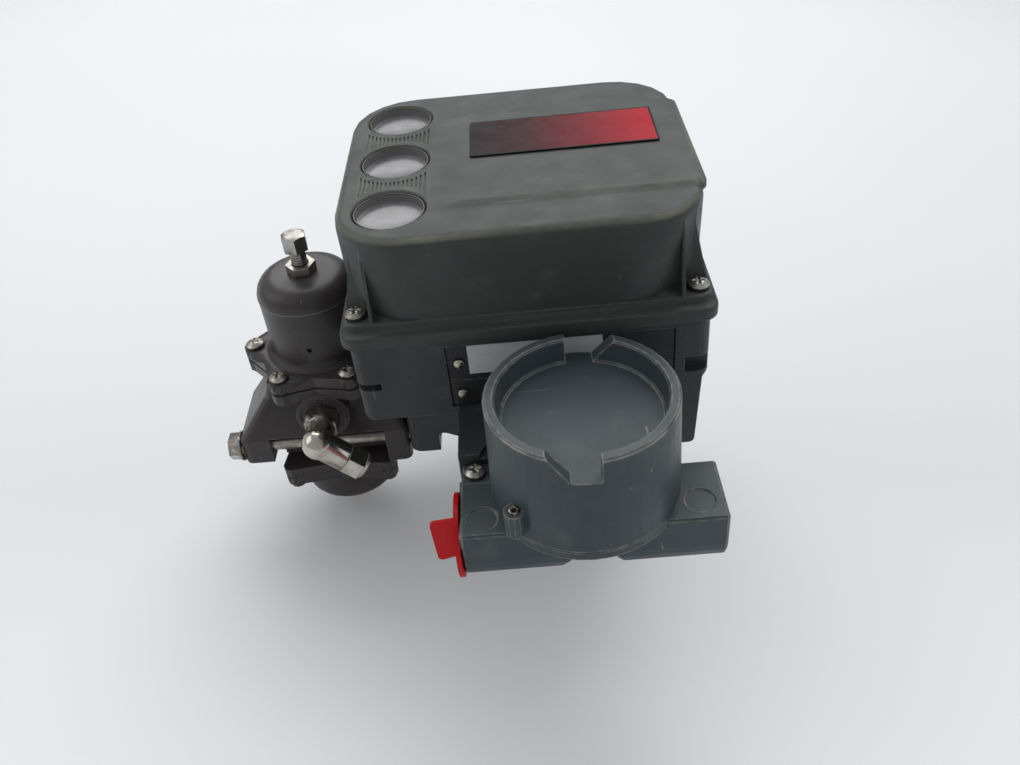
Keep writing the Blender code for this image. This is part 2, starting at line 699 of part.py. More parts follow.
def make_nameplates():
    back = housing_y[0] + panel_depth - gap
    spans = (("upper_nameplate", (panel_split_z + gap / 2, panel_z[1] - gap)),
             ("lower_nameplate", (panel_z[0] + gap, panel_split_z - gap / 2)))
    for i, (name, z) in enumerate(spans):
        plate = block(name, (panel_x[0] + gap, panel_x[1] - gap), (back - plate_thickness, back), z, DARK_PLASTIC)
        x, screw_z = nameplate_screws()[i]
        carve(plate, rod(f"{name}_hole", 1.2 * mm + gap, (x, back - 5 * mm, screw_z),
                         (x, back + tool_reach, screw_z), sides=8))
        face = back - plate_thickness - gap
        dome = [(0, 1.9 * mm), (1.4 * mm, 1.6 * mm), (2.3 * mm, 0.9 * mm), (plate_screw_radius, 0),
                (1.2 * mm, 0), (1.2 * mm, -6 * mm), (0, -6 * mm)]
        turned(f"nameplate_screw_{i + 1}", dome, (x, face, screw_z), STEEL, sides=14,
               turn=(math.radians(90), 0, 0))


def make_cover_gasket():
    outer = [p[:2] for p in ring_at(rim_cavity_half, rim_cavity_corner, 0, gap - gasket_width, 4)]
    inner = [p[:2] for p in ring_at(rim_cavity_half, rim_cavity_corner, 0, -gap, 4)]
    prism("cover_gasket", [outer, inner], (housing_rim_z - gasket_height, housing_rim_z), RUBBER)


# Cover

def make_cover():
    flange_z = cover_bottom_z + flange_height
    steps = 5
    rings = [ring_at(flange_half, flange_corner, cover_bottom_z, 1.6 * mm, steps),
             ring_at(flange_half, flange_corner, cover_bottom_z + 1.8 * mm, 0, steps),
             ring_at(flange_half, flange_corner, flange_z - 0.8 * mm, 0, steps),
             ring_at(flange_half, flange_corner, flange_z, 0.8 * mm, steps),
             ring_at(ledge_half, ledge_corner, flange_z + 0.2 * mm, 0, steps),
             ring_at(ledge_half, ledge_corner, ledge_z - 0.5 * mm, 0, steps),
             ring_at(ledge_half, ledge_corner, ledge_z, 0.4 * mm, steps),
             ring_at(wall_half_bottom, wall_corners_bottom, ledge_z + 0.1 * mm, 0, steps),
             ring_at(wall_half_top, wall_corners_top, cover_top_z - cover_fillet, 0, steps)]
    for degrees in (30, 60, 90):
        inset = cover_fillet * (1 - math.cos(math.radians(degrees)))
        rise = cover_fillet * math.sin(math.radians(degrees))
        rings.append(ring_at(wall_half_top, wall_corners_top, cover_top_z - cover_fillet + rise, inset, steps))
    cover = loft("cover", rings, COVER_PLASTIC)
    for i, (sx, sy) in enumerate(CORNERS):
        fuse(cover, *screw_ribs(i, sx, sy))

    hollow = loft("cover_hollow", [
        ring_at(wall_half_bottom, wall_corners_bottom, cover_bottom_z - tool_reach, cover_wall + 1 * mm, steps),
        ring_at(wall_half_bottom, wall_corners_bottom, ledge_z, cover_wall, steps),
        ring_at(wall_half_top, wall_corners_top, cover_top_z - cover_fillet - cover_wall, cover_wall, steps),
        ring_at(wall_half_top, wall_corners_top, cover_top_z - cover_wall, cover_wall + 2 * mm, steps)])
    carve(cover, hollow)

    low_x, low_y = raised_panel_x, raised_panel_y
    high_x = (low_x[0] + raised_panel_left_slope, low_x[1] - raised_panel_slope)
    high_y = (low_y[0] + raised_panel_slope, low_y[1] - raised_panel_slope)
    levels = ((low_x, low_y, cover_top_z - raised_panel_lap), (low_x, low_y, cover_top_z),
              (high_x, high_y, cover_top_z + raised_panel_height))
    fuse(cover, loft("raised_panel", [[(u, v, z) for u, v in rounded_rectangle(x, y, raised_panel_corner, 4)]
                                      for x, y, z in levels]))
    for i, y in enumerate(window_ys):
        at = (window_x, y)
        fuse(cover, rod(f"window_well_{i}", window_radius + window_well_wall, (*at, well_bottom_z),
                        (*at, cover_top_z - 1 * mm)))
        lip = [(0, cover_top_z + tool_reach), (window_radius + window_lip, cover_top_z + tool_reach),
               (window_radius + window_lip, cover_top_z - 0.7 * mm), (window_radius, cover_top_z - 1.3 * mm),
               (window_radius, well_bottom_z - tool_reach), (0, well_bottom_z - tool_reach)]
        carve(cover, turned(f"window_cut_{i}", lip, (*at, 0), sides=28))
    carve(cover, *grip_grooves())

    for i, (sx, sy) in enumerate(CORNERS):
        x, y = sx * cover_screw_at[0], body_y + sy * cover_screw_at[1]
        carve(cover, rod(f"screw_clearance_{i}", cover_screw_radius + gap, (x, y, cover_bottom_z - tool_reach),
                         (x, y, ledge_z + tool_reach), sides=bore))
    return cover


def grip_grooves():
    """Two fields of short grooves, whose ends follow the windows on either side of them."""
    cutters = []
    keep_out = window_radius + grip_groove_margin
    for field in (0, 1):
        middle_y = (window_ys[field] + window_ys[field + 1]) / 2
        for i in range(grip_groove_count):
            offset = (i - (grip_groove_count - 1) / 2) * grip_groove_pitch
            half = window_pitch / 2 - math.sqrt(keep_out ** 2 - offset ** 2)
            x = window_x + offset
            cutters.append(block(f"grip_groove_{field}_{i}",
                                 (x - grip_groove_width / 2, x + grip_groove_width / 2),
                                 (middle_y - half, middle_y + half),
                                 (cover_top_z - grip_groove_depth, cover_top_z + tool_reach)))
    return cutters


def screw_ribs(i, sx, sy):
    """Two tall thin gussets that brace the wall on either side of a cover screw."""
    foot_z = ledge_z - 0.3 * mm
    rib_x = sx * (cover_screw_at[0] - rib_offset)
    rib_y = body_y + sy * (cover_screw_at[1] - rib_offset)
    inner_x, inner_y = sx * (wall_half_top[0] - 12 * mm), body_y + sy * (wall_half_top[1] - 12 * mm)
    outer_x, outer_y = sx * (ledge_half[0] - 0.8 * mm), body_y + sy * (ledge_half[1] - 0.8 * mm)
    top_x, top_y = sx * (wall_half_top[0] - 6.5 * mm), body_y + sy * (wall_half_top[1] - 7.5 * mm)
    along_y = prism(f"rib_front_{i}", [[(outer_y, foot_z), (top_y, foot_z + rib_height),
                                        (inner_y, foot_z + rib_height), (inner_y, foot_z)]],
                    (rib_x - rib_thickness / 2, rib_x + rib_thickness / 2), along="X")
    along_x = prism(f"rib_side_{i}", [[(outer_x, foot_z), (top_x, foot_z + rib_height),
                                       (inner_x, foot_z + rib_height), (inner_x, foot_z)]],
                    (rib_y - rib_thickness / 2, rib_y + rib_thickness / 2), along="Y")
    return along_y, along_x


def make_cover_fittings():
    for i, (sx, sy) in enumerate(CORNERS):
        at = (sx * cover_screw_at[0], body_y + sy * cover_screw_at[1])
        pan_screw(f"cover_screw_{i + 1}", at, ledge_z, cover_screw_radius, cover_screw_length)
    reach = window_radius + window_well_wall
    lens_plan = rounded_rectangle((window_x - reach, window_x + reach),
                                  (window_ys[0] - reach, window_ys[-1] + reach), reach - 0.5 * mm, 8)
    prism("window_lens", [lens_plan], (lens_bottom_z, lens_top_z), CLEAR_PLASTIC)
    label_z = cover_top_z + raised_panel_height + gap
    prism("cover_label", [rounded_rectangle(label_x, label_y, 1.2 * mm, 3)],
          (label_z, label_z + label_thickness), LABEL_FILM)


# Module

def make_module():
    plan = [p[:2] for p in ring_at(module_half, module_corner, 0, 0, 4)]
    base = prism("module_base", [plan], (module_z, module_top_z), ALUMINIUM)
    floor = module_top_z + gap
    lift = gauge_top_z - gauge_case_height
    for i, y in enumerate(window_ys):
        dial_z = gauge_top_z - gauge_dial_depth
        profile = [(0, dial_z), (gauge_radius - 1.2 * mm, dial_z), (gauge_radius - 1.2 * mm, gauge_top_z),
                   (gauge_radius, gauge_top_z), (gauge_radius, lift), (gauge_stem_radius, lift - 3 * mm),
                   (gauge_stem_radius, floor), (0, floor)]
        turned(f"gauge_{i + 1}", profile, (window_x, y, 0), WHITE_DIAL, sides=16)
        low = dial_z + gap
        needle = [(-0.9 * mm, -3 * mm), (0.9 * mm, -3 * mm), (0.35 * mm, pointer_length),
                  (-0.35 * mm, pointer_length)]
        pointer = prism(f"gauge_pointer_{i + 1}", [[(window_x + u, y + v) for u, v in needle]],
                        (low, low + 0.6 * mm), DARK_PLASTIC, origin=(window_x, y, 0))
        fuse(pointer, rod(f"pointer_hub_{i}", 1.8 * mm, (window_x, y, low), (window_x, y, low + 1.1 * mm),
                          sides=10))
    x, y = relay_at
    profile = [(0, floor + relay_height), (relay_radius - 6 * mm, floor + relay_height),
               (relay_radius - 4 * mm, floor + relay_height - 2 * mm), (relay_radius - 4 * mm, floor + 14 * mm),
               (relay_radius, floor + 12 * mm), (relay_radius, floor), (0, floor)]
    turned("pneumatic_relay", profile, (x, y, 0), ALUMINIUM, sides=20)
    x, y = converter_at
    profile = [(0, floor + converter_height), (converter_radius - 2 * mm, floor + converter_height),
               (converter_radius, floor + converter_height - 2 * mm), (converter_radius, floor), (0, floor)]
    turned("ip_converter", profile, (x, y, 0), DARK_PLASTIC, sides=20)
    board_plan = rounded_rectangle(board_x, board_y, 5 * mm, 3)
    board = prism("wiring_board", [board_plan], (floor, floor + board_height), DARK_PLASTIC)
    carve(board, block("board_recess", (board_x[0] + 4 * mm, board_x[1] - 4 * mm),
                       (board_y[0] + 4 * mm, board_y[1] - 4 * mm),
                       (floor + board_height - 3 * mm, floor + board_height + tool_reach)))
    return base


# Travel sensor

def make_travel_sensor():
    x, y = sensor_at
    profile = [(0, sensor_tip_z), (sensor_shaft_radius, sensor_tip_z),
               (sensor_shaft_radius, sensor_shaft_end_z), (0, sensor_shaft_end_z)]
    turned("travel_shaft", profile, (x, y, 0), STEEL, sides=small)
    clear = sensor_shaft_radius + gap
    flange_low, flange_high = back_wall + gap, back_wall + gap + bushing_flange
    turned("shaft_bushing", [(clear, flange_high), (bushing_flange_radius, flange_high),
                             (bushing_flange_radius, flange_low), (bushing_radius, flange_low),
                             (bushing_radius, 0.3 * mm), (clear, 0.3 * mm)],
           (x, y, 0), BRONZE, sides=small, closed=True)
    seat = flange_high + gap
    pot_top = seat + potentiometer_height
    turned("potentiometer", [(0, pot_top), (potentiometer_radius - 1 * mm, pot_top),
                             (potentiometer_radius, pot_top - 1 * mm), (potentiometer_radius, seat),
                             (clear, seat), (clear, sensor_tip_z + gap), (0, sensor_tip_z + gap)],
           (x, y, 0), DARK_PLASTIC, sides=small)
    arm_z = (arm_face_z - arm_thickness, arm_face_z)
    half = arm_width / 2
    outline = arc((x, y), half, 180, 360, 6) + arc((x, y + arm_length), half * 0.8, 0, 180, 6)
    arm = prism("feedback_arm", [outline], arm_z, ALUMINIUM, origin=(x, y, 0))
    hub = rod("arm_hub", arm_hub_radius, (x, y, arm_face_z - arm_hub_length), (x, y, arm_face_z), sides=small)
    fuse(arm, hub)
    length, slot = arm_slot
    slot_plan = arc((x, y + arm_length - length), slot, 180, 360, 5) + arc((x, y + arm_length - 2 * slot),
                                                                            slot, 0, 180, 5)
    carve(arm, prism("arm_slot", [slot_plan], (arm_z[0] - tool_reach, arm_z[1] + tool_reach)),
          rod("arm_bore", clear, (x, y, arm_face_z - arm_hub_length - tool_reach), (x, y, 1 * mm), sides=small))
    coil("bias_spring", sensor_at, bias_coil_radius, bias_wire_radius, (arm_face_z + gap, -gap),
         bias_turns, STEEL, steps=12)
    x, y = vent_at
    turned("vent_cap", [(0, 8 * mm), (vent_stem_radius, 8 * mm), (vent_stem_radius, -gap), (vent_radius, -gap),
                        (vent_radius, -3 * mm), (vent_radius - 3 * mm, -5.5 * mm), (0, -6 * mm)],
           (x, y, 0), DARK_PLASTIC, sides=small)
    y = port_y[1]
    plug = rod("output_port_plug", port_radius - gap, (base_right_x - 9 * mm, y, port_z),
               (base_right_x - 0.5 * mm, y, port_z), STEEL, sides=small)
    carve(plug, hexagon("port_plug_socket", 6.3 * mm, (base_right_x - 5 * mm, y, port_z),
                        (base_right_x + tool_reach, y, port_z)))


# Terminal box

def make_terminal_box():
    x, y = box_axis
    rim_low = box_rim_top_z - box_rim_height
    profile = [(0, box_neck_top_z), (box_neck_radius - 0.8 * mm, box_neck_top_z),
               (box_neck_radius, box_neck_top_z - 0.8 * mm), (box_neck_radius, box_rim_top_z),
               (cap_skirt_radius - 0.5 * mm, box_rim_top_z), (cap_skirt_radius, box_rim_top_z - 0.5 * mm),
               (cap_skirt_radius, rim_low + 0.8 * mm), (cap_skirt_radius - 1.2 * mm, rim_low),
               (box_bowl_radius + 4 * mm, rim_low - 2 * mm), (box_bowl_radius, box_bowl_bottom_z),
               (0, box_bowl_bottom_z)]
    box = turned("terminal_box", profile, (x, y, 0), BOX_PAINT)

    half = conduit_radius
    hub_outline = [(conduit_y + half, conduit_top_z), (conduit_y - half, conduit_top_z)]
    hub_outline += arc((conduit_y, conduit_z), half, 180, 360, 12)
    hub = soften(prism("conduit_hub", [hub_outline], conduit_x, along="X"), conduit_edge, 1)
    ear = block("mounting_ear", (conduit_x[0] + 1.4 * mm, ear_screw_at[0] + 8 * mm),
                (conduit_y + half - 3 * mm, neck_front_y - gap), (ear_low_z, ear_top_z))
    fuse(box, hub, ear)

    chamber = rod("terminal_chamber", box_chamber_radius, (x, y, box_chamber_floor_z),
                  (x, y, box_neck_top_z + tool_reach))
    gap_outline = [(conduit_gap_bottom[0], 0), (conduit_gap_bottom[1], 0),
                   (conduit_gap_bottom[1] - 2 * mm, conduit_z - conduit_radius + 6 * mm),
                   (conduit_gap_top[1], conduit_gap_top_z), (conduit_gap_top[0], conduit_gap_top_z),
                   (conduit_gap_bottom[0] + 2 * mm, conduit_z - conduit_radius + 6 * mm)]
    gap_depth = (conduit_y - conduit_radius - tool_reach, conduit_y + 8 * mm)
    carve(box, chamber, prism("hub_gap", [gap_outline], gap_depth, along="Y"))
    for i, (end, inward) in enumerate(((conduit_x[0], 1), (conduit_x[1], -1))):
        carve(box, rod(f"conduit_bore_{i}", conduit_bore, (end - inward * tool_reach, conduit_y, conduit_z),
                       (end + inward * conduit_bore_depth, conduit_y, conduit_z)))
    for i, (mark_x, mark_y) in enumerate(conduit_marks):
        carve(box, rod(f"conduit_mark_{i}", conduit_mark_radius,
                       (mark_x, mark_y, conduit_top_z - conduit_mark_depth),
                       (mark_x, mark_y, conduit_top_z + tool_reach), sides=20))
    screw_x, screw_y = ear_screw_at
    carve(box, rod("ear_hole", ear_screw_radius + gap, (screw_x, screw_y, neck_bottom_z),
                   (screw_x, screw_y, cap_bottom_z + tool_reach), sides=bore))
    pan_screw("terminal_box_screw", ear_screw_at, ear_top_z, ear_screw_radius, 16 * mm)
    return box


def make_terminal_cap():
    x, y = box_axis
    floor_z = cap_top_z - cap_dish_depth
    groove_z, groove_half = cap_bottom_z + o_ring_height, o_ring_radius + gap / 2
    ring_middle = box_neck_radius + o_ring_radius + 0.05 * mm
    groove_radius = ring_middle + o_ring_radius + gap
    profile = [(0, floor_z), (cap_dish_floor_radius, floor_z), (cap_dish_floor_radius + 0.8 * mm, floor_z + 0.8 * mm),
               (cap_rim_inner, cap_top_z - 0.8 * mm), (cap_rim_inner + 0.8 * mm, cap_top_z),
               (cap_radius - 0.8 * mm, cap_top_z), (cap_radius, cap_top_z - 0.8 * mm), (cap_skirt_radius, cap_bottom_z),
               (cap_inner_radius, cap_bottom_z), (cap_inner_radius, groove_z - groove_half),
               (groove_radius, groove_z - groove_half), (groove_radius, groove_z + groove_half),
               (cap_inner_radius, groove_z + groove_half), (cap_inner_radius, cap_inner_top_z), (0, cap_inner_top_z)]
    cap = turned("terminal_cap", profile, (x, y, 0), BOX_PAINT, sides=48)
    left, right = cap_notch_floor
    for i, side in enumerate((-1, 1)):
        outline = [(x - side * left, floor_z), (x - side * right, floor_z), (x - side * right, cap_top_z + tool_reach),
                   (x - side * (left - cap_notch_slant), cap_top_z + tool_reach)]
        near, far = sorted((y + side * (cap_radius + tool_reach), y + side * (cap_radius - cap_notch_reach)))
        carve(cap, prism(f"wrench_notch_{i}", [outline], (near, far), along="Y"))
    turned("cap_o_ring", arc((ring_middle, groove_z), o_ring_radius, 90, -198, 4), (x, y, 0), RUBBER,
           closed=True)
    at = polar(box_axis, cap_boss_reach, cap_boss_angle)
    boss = rod("set_screw_boss", cap_boss_radius, (*at, cap_boss_z[0]), (*at, cap_boss_z[1]), sides=small)
    carve(boss, rod("boss_room", cap_radius - cap_wall / 2, (x, y, cap_bottom_z - tool_reach),
                    (x, y, cap_boss_z[1] + tool_reach), sides=48))
    fuse(cap, boss)
    carve(cap, rod("set_screw_hole", set_screw_radius + gap, (*at, cap_boss_z[1] - set_screw_length - gap),
                   (*at, cap_boss_z[1] + tool_reach), sides=bore))
    screw = rod("cap_set_screw", set_screw_radius, (*at, cap_boss_z[1] - set_screw_length),
                (*at, cap_boss_z[1] + 0.5 * mm), STEEL, sides=bore)
    carve(screw, hexagon("set_screw_socket", 2.4 * mm, (*at, cap_boss_z[1] - 2.4 * mm),
                         (*at, cap_boss_z[1] + tool_reach)))
    return cap


def make_terminal_block():
    x, y = box_axis
    low = box_chamber_floor_z + gap
    top = low + block_height
    plan = arc((x, y), box_chamber_radius - 3 * mm, -60, 60, 8) + arc((x, y), box_chamber_radius - 3 * mm, 120, 240, 8)
    board = prism("terminal_block", [plan], (low, top), DARK_PLASTIC)
    pitch = 10 * mm
    for i in range(block_screws + 1):
        rib_x = x + (i - block_screws / 2) * pitch
        fuse(board, block(f"barrier_{i}", (rib_x - 0.8 * mm, rib_x + 0.8 * mm), (y - 8 * mm, y + 8 * mm),
                          (top - 1 * mm, top + 4 * mm)))
    for i in range(block_screws):
        screw_x = x + (i + 0.5 - block_screws / 2) * pitch
        fuse(board, rod(f"terminal_screw_{i}", 3 * mm, (screw_x, y, top - 1 * mm), (screw_x, y, top + 2 * mm),
                        sides=10))


def make_conduit_plug():
    end = conduit_x[0] - gap
    disc = rod("conduit_plug", plug_disc_radius, (end - plug_disc, conduit_y, conduit_z),
               (end, conduit_y, conduit_z), RED_PLASTIC, sides=36)
    sleeve = conduit_bore - 2 * gap
    stem = rod("plug_stem", sleeve, (end - plug_disc / 2, conduit_y, conduit_z),
               (end + plug_length, conduit_y, conduit_z), sides=20)
    tab_out, tab_tall, tab_thick = plug_tab
    tab_x = (end - plug_disc - tab_out, end - plug_disc / 2)
    outline = arc((tab_x[0] + 2 * mm, conduit_z + tab_tall / 2 - 5 * mm), 2 * mm, 90, 180, 3)
    outline += arc((tab_x[0] + 3 * mm, conduit_z - tab_tall / 2 - 0.5 * mm), 2 * mm, 180, 270, 3)
    outline += [(tab_x[1], conduit_z - tab_tall / 2), (tab_x[1], conduit_z + tab_tall / 2 - 2 * mm)]
    tab = prism("plug_tab", [outline], (conduit_y - tab_thick / 2, conduit_y + tab_thick / 2), along="Y")
    fuse(disc, stem, tab)
    carve(disc, rod("plug_hollow", sleeve - plug_wall, (end, conduit_y, conduit_z),
                    (end + plug_length + tool_reach, conduit_y, conduit_z), sides=20))


# Filter regulator

def lobes(inset=0.0):
    return lobed_outline(reg_axis, reg_screw_circle, reg_screw_count, reg_lobe_radius - inset,
                         reg_valley_radius - inset)


def case_screw_places():
    return [polar(reg_axis, reg_screw_circle, 360 / reg_screw_count * i) for i in range(reg_screw_count)]


def case_screw_holes(name, low, high):
    return [rod(f"{name}_screw_hole_{i}", reg_screw_radius + gap, (*at, low - tool_reach), (*at, high + tool_reach),
                sides=bore) for i, at in enumerate(case_screw_places())]


def plan_ring(x, half_y, z, corner=4 * mm):
    return [(u, v, z) for u, v in rounded_rectangle(x, (-half_y, half_y), corner, 3)]


def make_regulator_body():
    x, y = reg_axis
    body = prism("regulator_body", [lobes()], (reg_flange_z - reg_flange, reg_flange_z), REGULATOR_PAINT)
    carve(body, *case_screw_holes("body", reg_flange_z - reg_flange, reg_flange_z))
    barrel = rod("reg_barrel", reg_body_radius, (x, y, reg_link_z[1] + 3 * mm), (x, y, reg_flange_z - 1 * mm), sides=fine)
    core = rod("reg_core", reg_core_radius, (x, y, bowl_flange_z + gap), (x, y, 15 * mm))
    yoke = loft("reg_yoke", [
        plan_ring((reg_lug_x[0], reg_link_x[1]), reg_half_depth, reg_link_z[0]),
        plan_ring((reg_lug_x[0], reg_link_x[1]), reg_half_depth, reg_link_z[1]),
        plan_ring(reg_shoulder_x, reg_shoulder_half, reg_shoulder_z),
        plan_ring((reg_shoulder_x[0] + 3 * mm, reg_shoulder_x[1] - 2 * mm), reg_shoulder_half,
                  reg_flange_z - reg_flange + 1 * mm)])
    boss = rod("reg_port_boss", reg_port_radius, (x, reg_port_face_y, reg_port_z), (x, y, reg_port_z))
    lower = prism("reg_lower_flange", [bowl_lobes()], (bowl_flange_z + gap, bowl_flange_z + gap + 5 * mm))
    fuse(body, barrel, core, yoke, boss, lower)

    outer, inner = reg_half_depth + tool_reach, reg_bolt_y - reg_bolt_radius - 1.6 * mm
    channel_z = (reg_link_z[0] - tool_reach, reg_link_z[1] + 0.8 * mm)
    carve(body, block("back_lug_step", (reg_lug_x[0] - tool_reach, reg_back_lug_x[0]),
                      (reg_bolt_y - 12 * mm, outer), (reg_link_z[0] - tool_reach, reg_flange_z - reg_flange - gap)),
          block("front_bolt_channel", (reg_lug_x[1], reg_link_x[0]), (-outer, -inner), channel_z),
          block("back_bolt_channel", (reg_back_lug_x[1], reg_link_x[0]), (inner, outer), channel_z))
    under = (reg_link_z[0] - tool_reach, reg_lug_bottom_z)
    carve(body, block("lug_underside", (reg_lug_x[0] - 1 * mm, reg_lug_x[1] + 3 * mm),
                      (-reg_half_depth - 1 * mm, reg_half_depth + 1 * mm), under))
    for side in (-1, 1):
        bolt_y = side * reg_bolt_y
        carve(body, rod(f"reg_bolt_bore_{side}", reg_bolt_radius + gap,
                        (reg_lug_x[0] - tool_reach, bolt_y, reg_bolt_z),
                        (reg_link_x[1] + tool_reach, bolt_y, reg_bolt_z), sides=small))
    ring = [(reg_port_bore + 5 * mm, -tool_reach), (reg_port_bore + 5 * mm, 0.8 * mm),
            (reg_port_bore + 2.4 * mm, 0.8 * mm), (reg_port_bore + 2.4 * mm, -tool_reach)]
    carve(body, rod("reg_inlet", reg_port_bore, (x, reg_port_face_y - tool_reach, reg_port_z),
                    (x, reg_port_face_y + reg_port_depth, reg_port_z), sides=20),
          turned("port_face_ring", ring[::-1], (x, reg_port_face_y, reg_port_z), sides=small, closed=True,
                 turn=(math.radians(-90), 0, 0)),
          rod("reg_outlet", 4.5 * mm, (x + 12 * mm, y, 20 * mm), (reg_link_x[1] + tool_reach, y, 20 * mm),
              sides=bore),
          rod("reg_head_room", 23 * mm, (x, y, reg_flange_z - 7 * mm), (x, y, reg_flange_z + tool_reach), sides=20),
          rod("reg_valve_bore", valve_bore, (x, y, 0), (x, y, reg_flange_z), sides=small),
          rod("reg_filter_room", filter_radius[0] + 1 * mm, (x, y, bowl_flange_z - tool_reach),
              (x, y, filter_z[1] + gap), sides=20))
    return body


def bowl_lobes():
    return lobed_outline(reg_axis, bowl_screw_circle, bowl_screw_count, bowl_lobe_radius,
                         bowl_radius + 1 * mm, first=45)


def make_spring_case():
    x, y = reg_axis
    inner = case_radius - case_wall
    case = prism("spring_case", [lobes()], (case_bottom_z, case_flange_top_z), REGULATOR_PAINT)
    carve(case, rod("case_flange_room", inner + case_wall / 2, (x, y, case_bottom_z - tool_reach),
                    (x, y, case_flange_top_z + tool_reach)),
          *case_screw_holes("case", case_bottom_z, case_flange_top_z))
    foot = case_flange_top_z
    thread = adjust_radius + gap
    fillet = (case_radius + case_foot_fillet, foot + case_foot_fillet)
    profile = [(thread, case_top_z)]
    profile += arc((case_radius + case_lip - case_dome, case_top_z - case_dome), case_dome, 90, 8, 4)
    profile += [(case_radius + case_lip, case_seam_z), (case_radius, case_seam_z - 0.6 * mm)]
    profile += arc(fillet, case_foot_fillet, 180, 262, 3)
    profile += [(fillet[0], case_bottom_z + 1 * mm), (inner, case_bottom_z + 1 * mm),
                (inner, case_seam_z - 1.5 * mm), (inner - 4 * mm, case_seam_z + 2.5 * mm),
                (thread, case_seam_z + 2.5 * mm)]
    fuse(case, turned("case_barrel", profile, (x, y, 0), closed=True))
    carve(case, rod("case_vent", case_vent_radius, (x, -case_radius - 2 * mm, case_vent_z),
                    (x, -inner + 3 * mm, case_vent_z), sides=bore))
    for i, at in enumerate(case_screw_places()):
        pan_screw(f"spring_case_screw_{i + 1}", at, case_flange_top_z, reg_screw_radius, reg_screw_length)

    diaphragm = prism("diaphragm", [lobes(0.4 * mm)], (reg_gasket_z, reg_gasket_z + diaphragm_thickness), RUBBER)
    carve(diaphragm, rod("diaphragm_hole", head_stem_radius + gap, (x, y, reg_gasket_z - tool_reach),
                         (x, y, case_bottom_z), sides=small),
          *case_screw_holes("diaphragm", reg_gasket_z, case_bottom_z))
    return case


def make_regulator_inside():
    x, y = reg_axis
    plate_radius, plate_high = head_plate
    stem_low = reg_flange_z - 4 * mm
    turned("diaphragm_head", [(0, case_bottom_z + plate_high), (plate_radius, case_bottom_z + plate_high),
                              (plate_radius, case_bottom_z), (head_stem_radius, case_bottom_z),
                              (head_stem_radius, stem_low), (0, stem_low)], (x, y, 0), ALUMINIUM, sides=20)
    seat_low = seat_top_z - seat_thickness
    turned("spring_seat", [(0, seat_top_z - 1 * mm), (3 * mm, seat_top_z), (seat_radius, seat_top_z),
                           (seat_radius, seat_low), (spring_coil_radius - 3 * mm, seat_low),
                           (spring_coil_radius - 4 * mm, seat_low - 1.5 * mm), (0, seat_low - 1.5 * mm)],
           (x, y, 0), STEEL, sides=20)
    coil("control_spring", reg_axis, spring_coil_radius, spring_wire_radius, (spring_bottom_z, spring_top_z),
         spring_turns, STEEL, steps=11)
    low, high = valve_z
    turned("valve_plug", [(0, stem_low - gap), (valve_stem_radius, stem_low - gap), (valve_stem_radius, high),
                          (valve_radius, high - 3 * mm), (valve_radius, low), (0, low)], (x, y, 0), BRONZE, sides=small)
    coil("valve_spring", reg_axis, 4 * mm, 0.5 * mm, (filter_z[1] + 1.3 * mm, low - gap), 2.5, STEEL, steps=8)
    outer, inner = filter_radius
    turned("filter_element", [(outer, filter_z[1]), (outer, filter_z[0]), (inner, filter_z[0]),
                              (inner, filter_z[1])], (x, y, 0), FELT, sides=20, closed=True)


def make_adjuster():
    x, y = reg_axis
    across, high = adjust_head
    head_low = adjust_top_z - high
    screw = hexagon("adjusting_screw", across, (x, y, head_low), (x, y, adjust_top_z), STEEL,
                    spin=math.radians(12), origin=(x, y, 0))
    crown = turned("screw_crown", [(0, adjust_top_z + 2 * mm), (across / 2 + 4.6 * mm, adjust_top_z - 2.6 * mm),
                                   (across / 2 + 4.6 * mm, head_low - 1 * mm), (0, head_low - 1 * mm)],
                   (x, y, 0), sides=medium)
    combine(screw, [crown], "INTERSECT")
    fuse(screw, rod("screw_shank", adjust_radius, (x, y, seat_top_z + gap), (x, y, head_low + 1 * mm), sides=small))
    across, high = lock_nut_size
    nut_low = case_top_z + gap
    nut = hexagon("lock_nut", across, (x, y, nut_low), (x, y, nut_low + high), STEEL, spin=math.radians(40),
                  origin=(x, y, 0))
    carve(nut, rod("nut_bore", adjust_radius + gap, (x, y, case_top_z - 1 * mm), (x, y, nut_low + high + tool_reach),
                   sides=small))


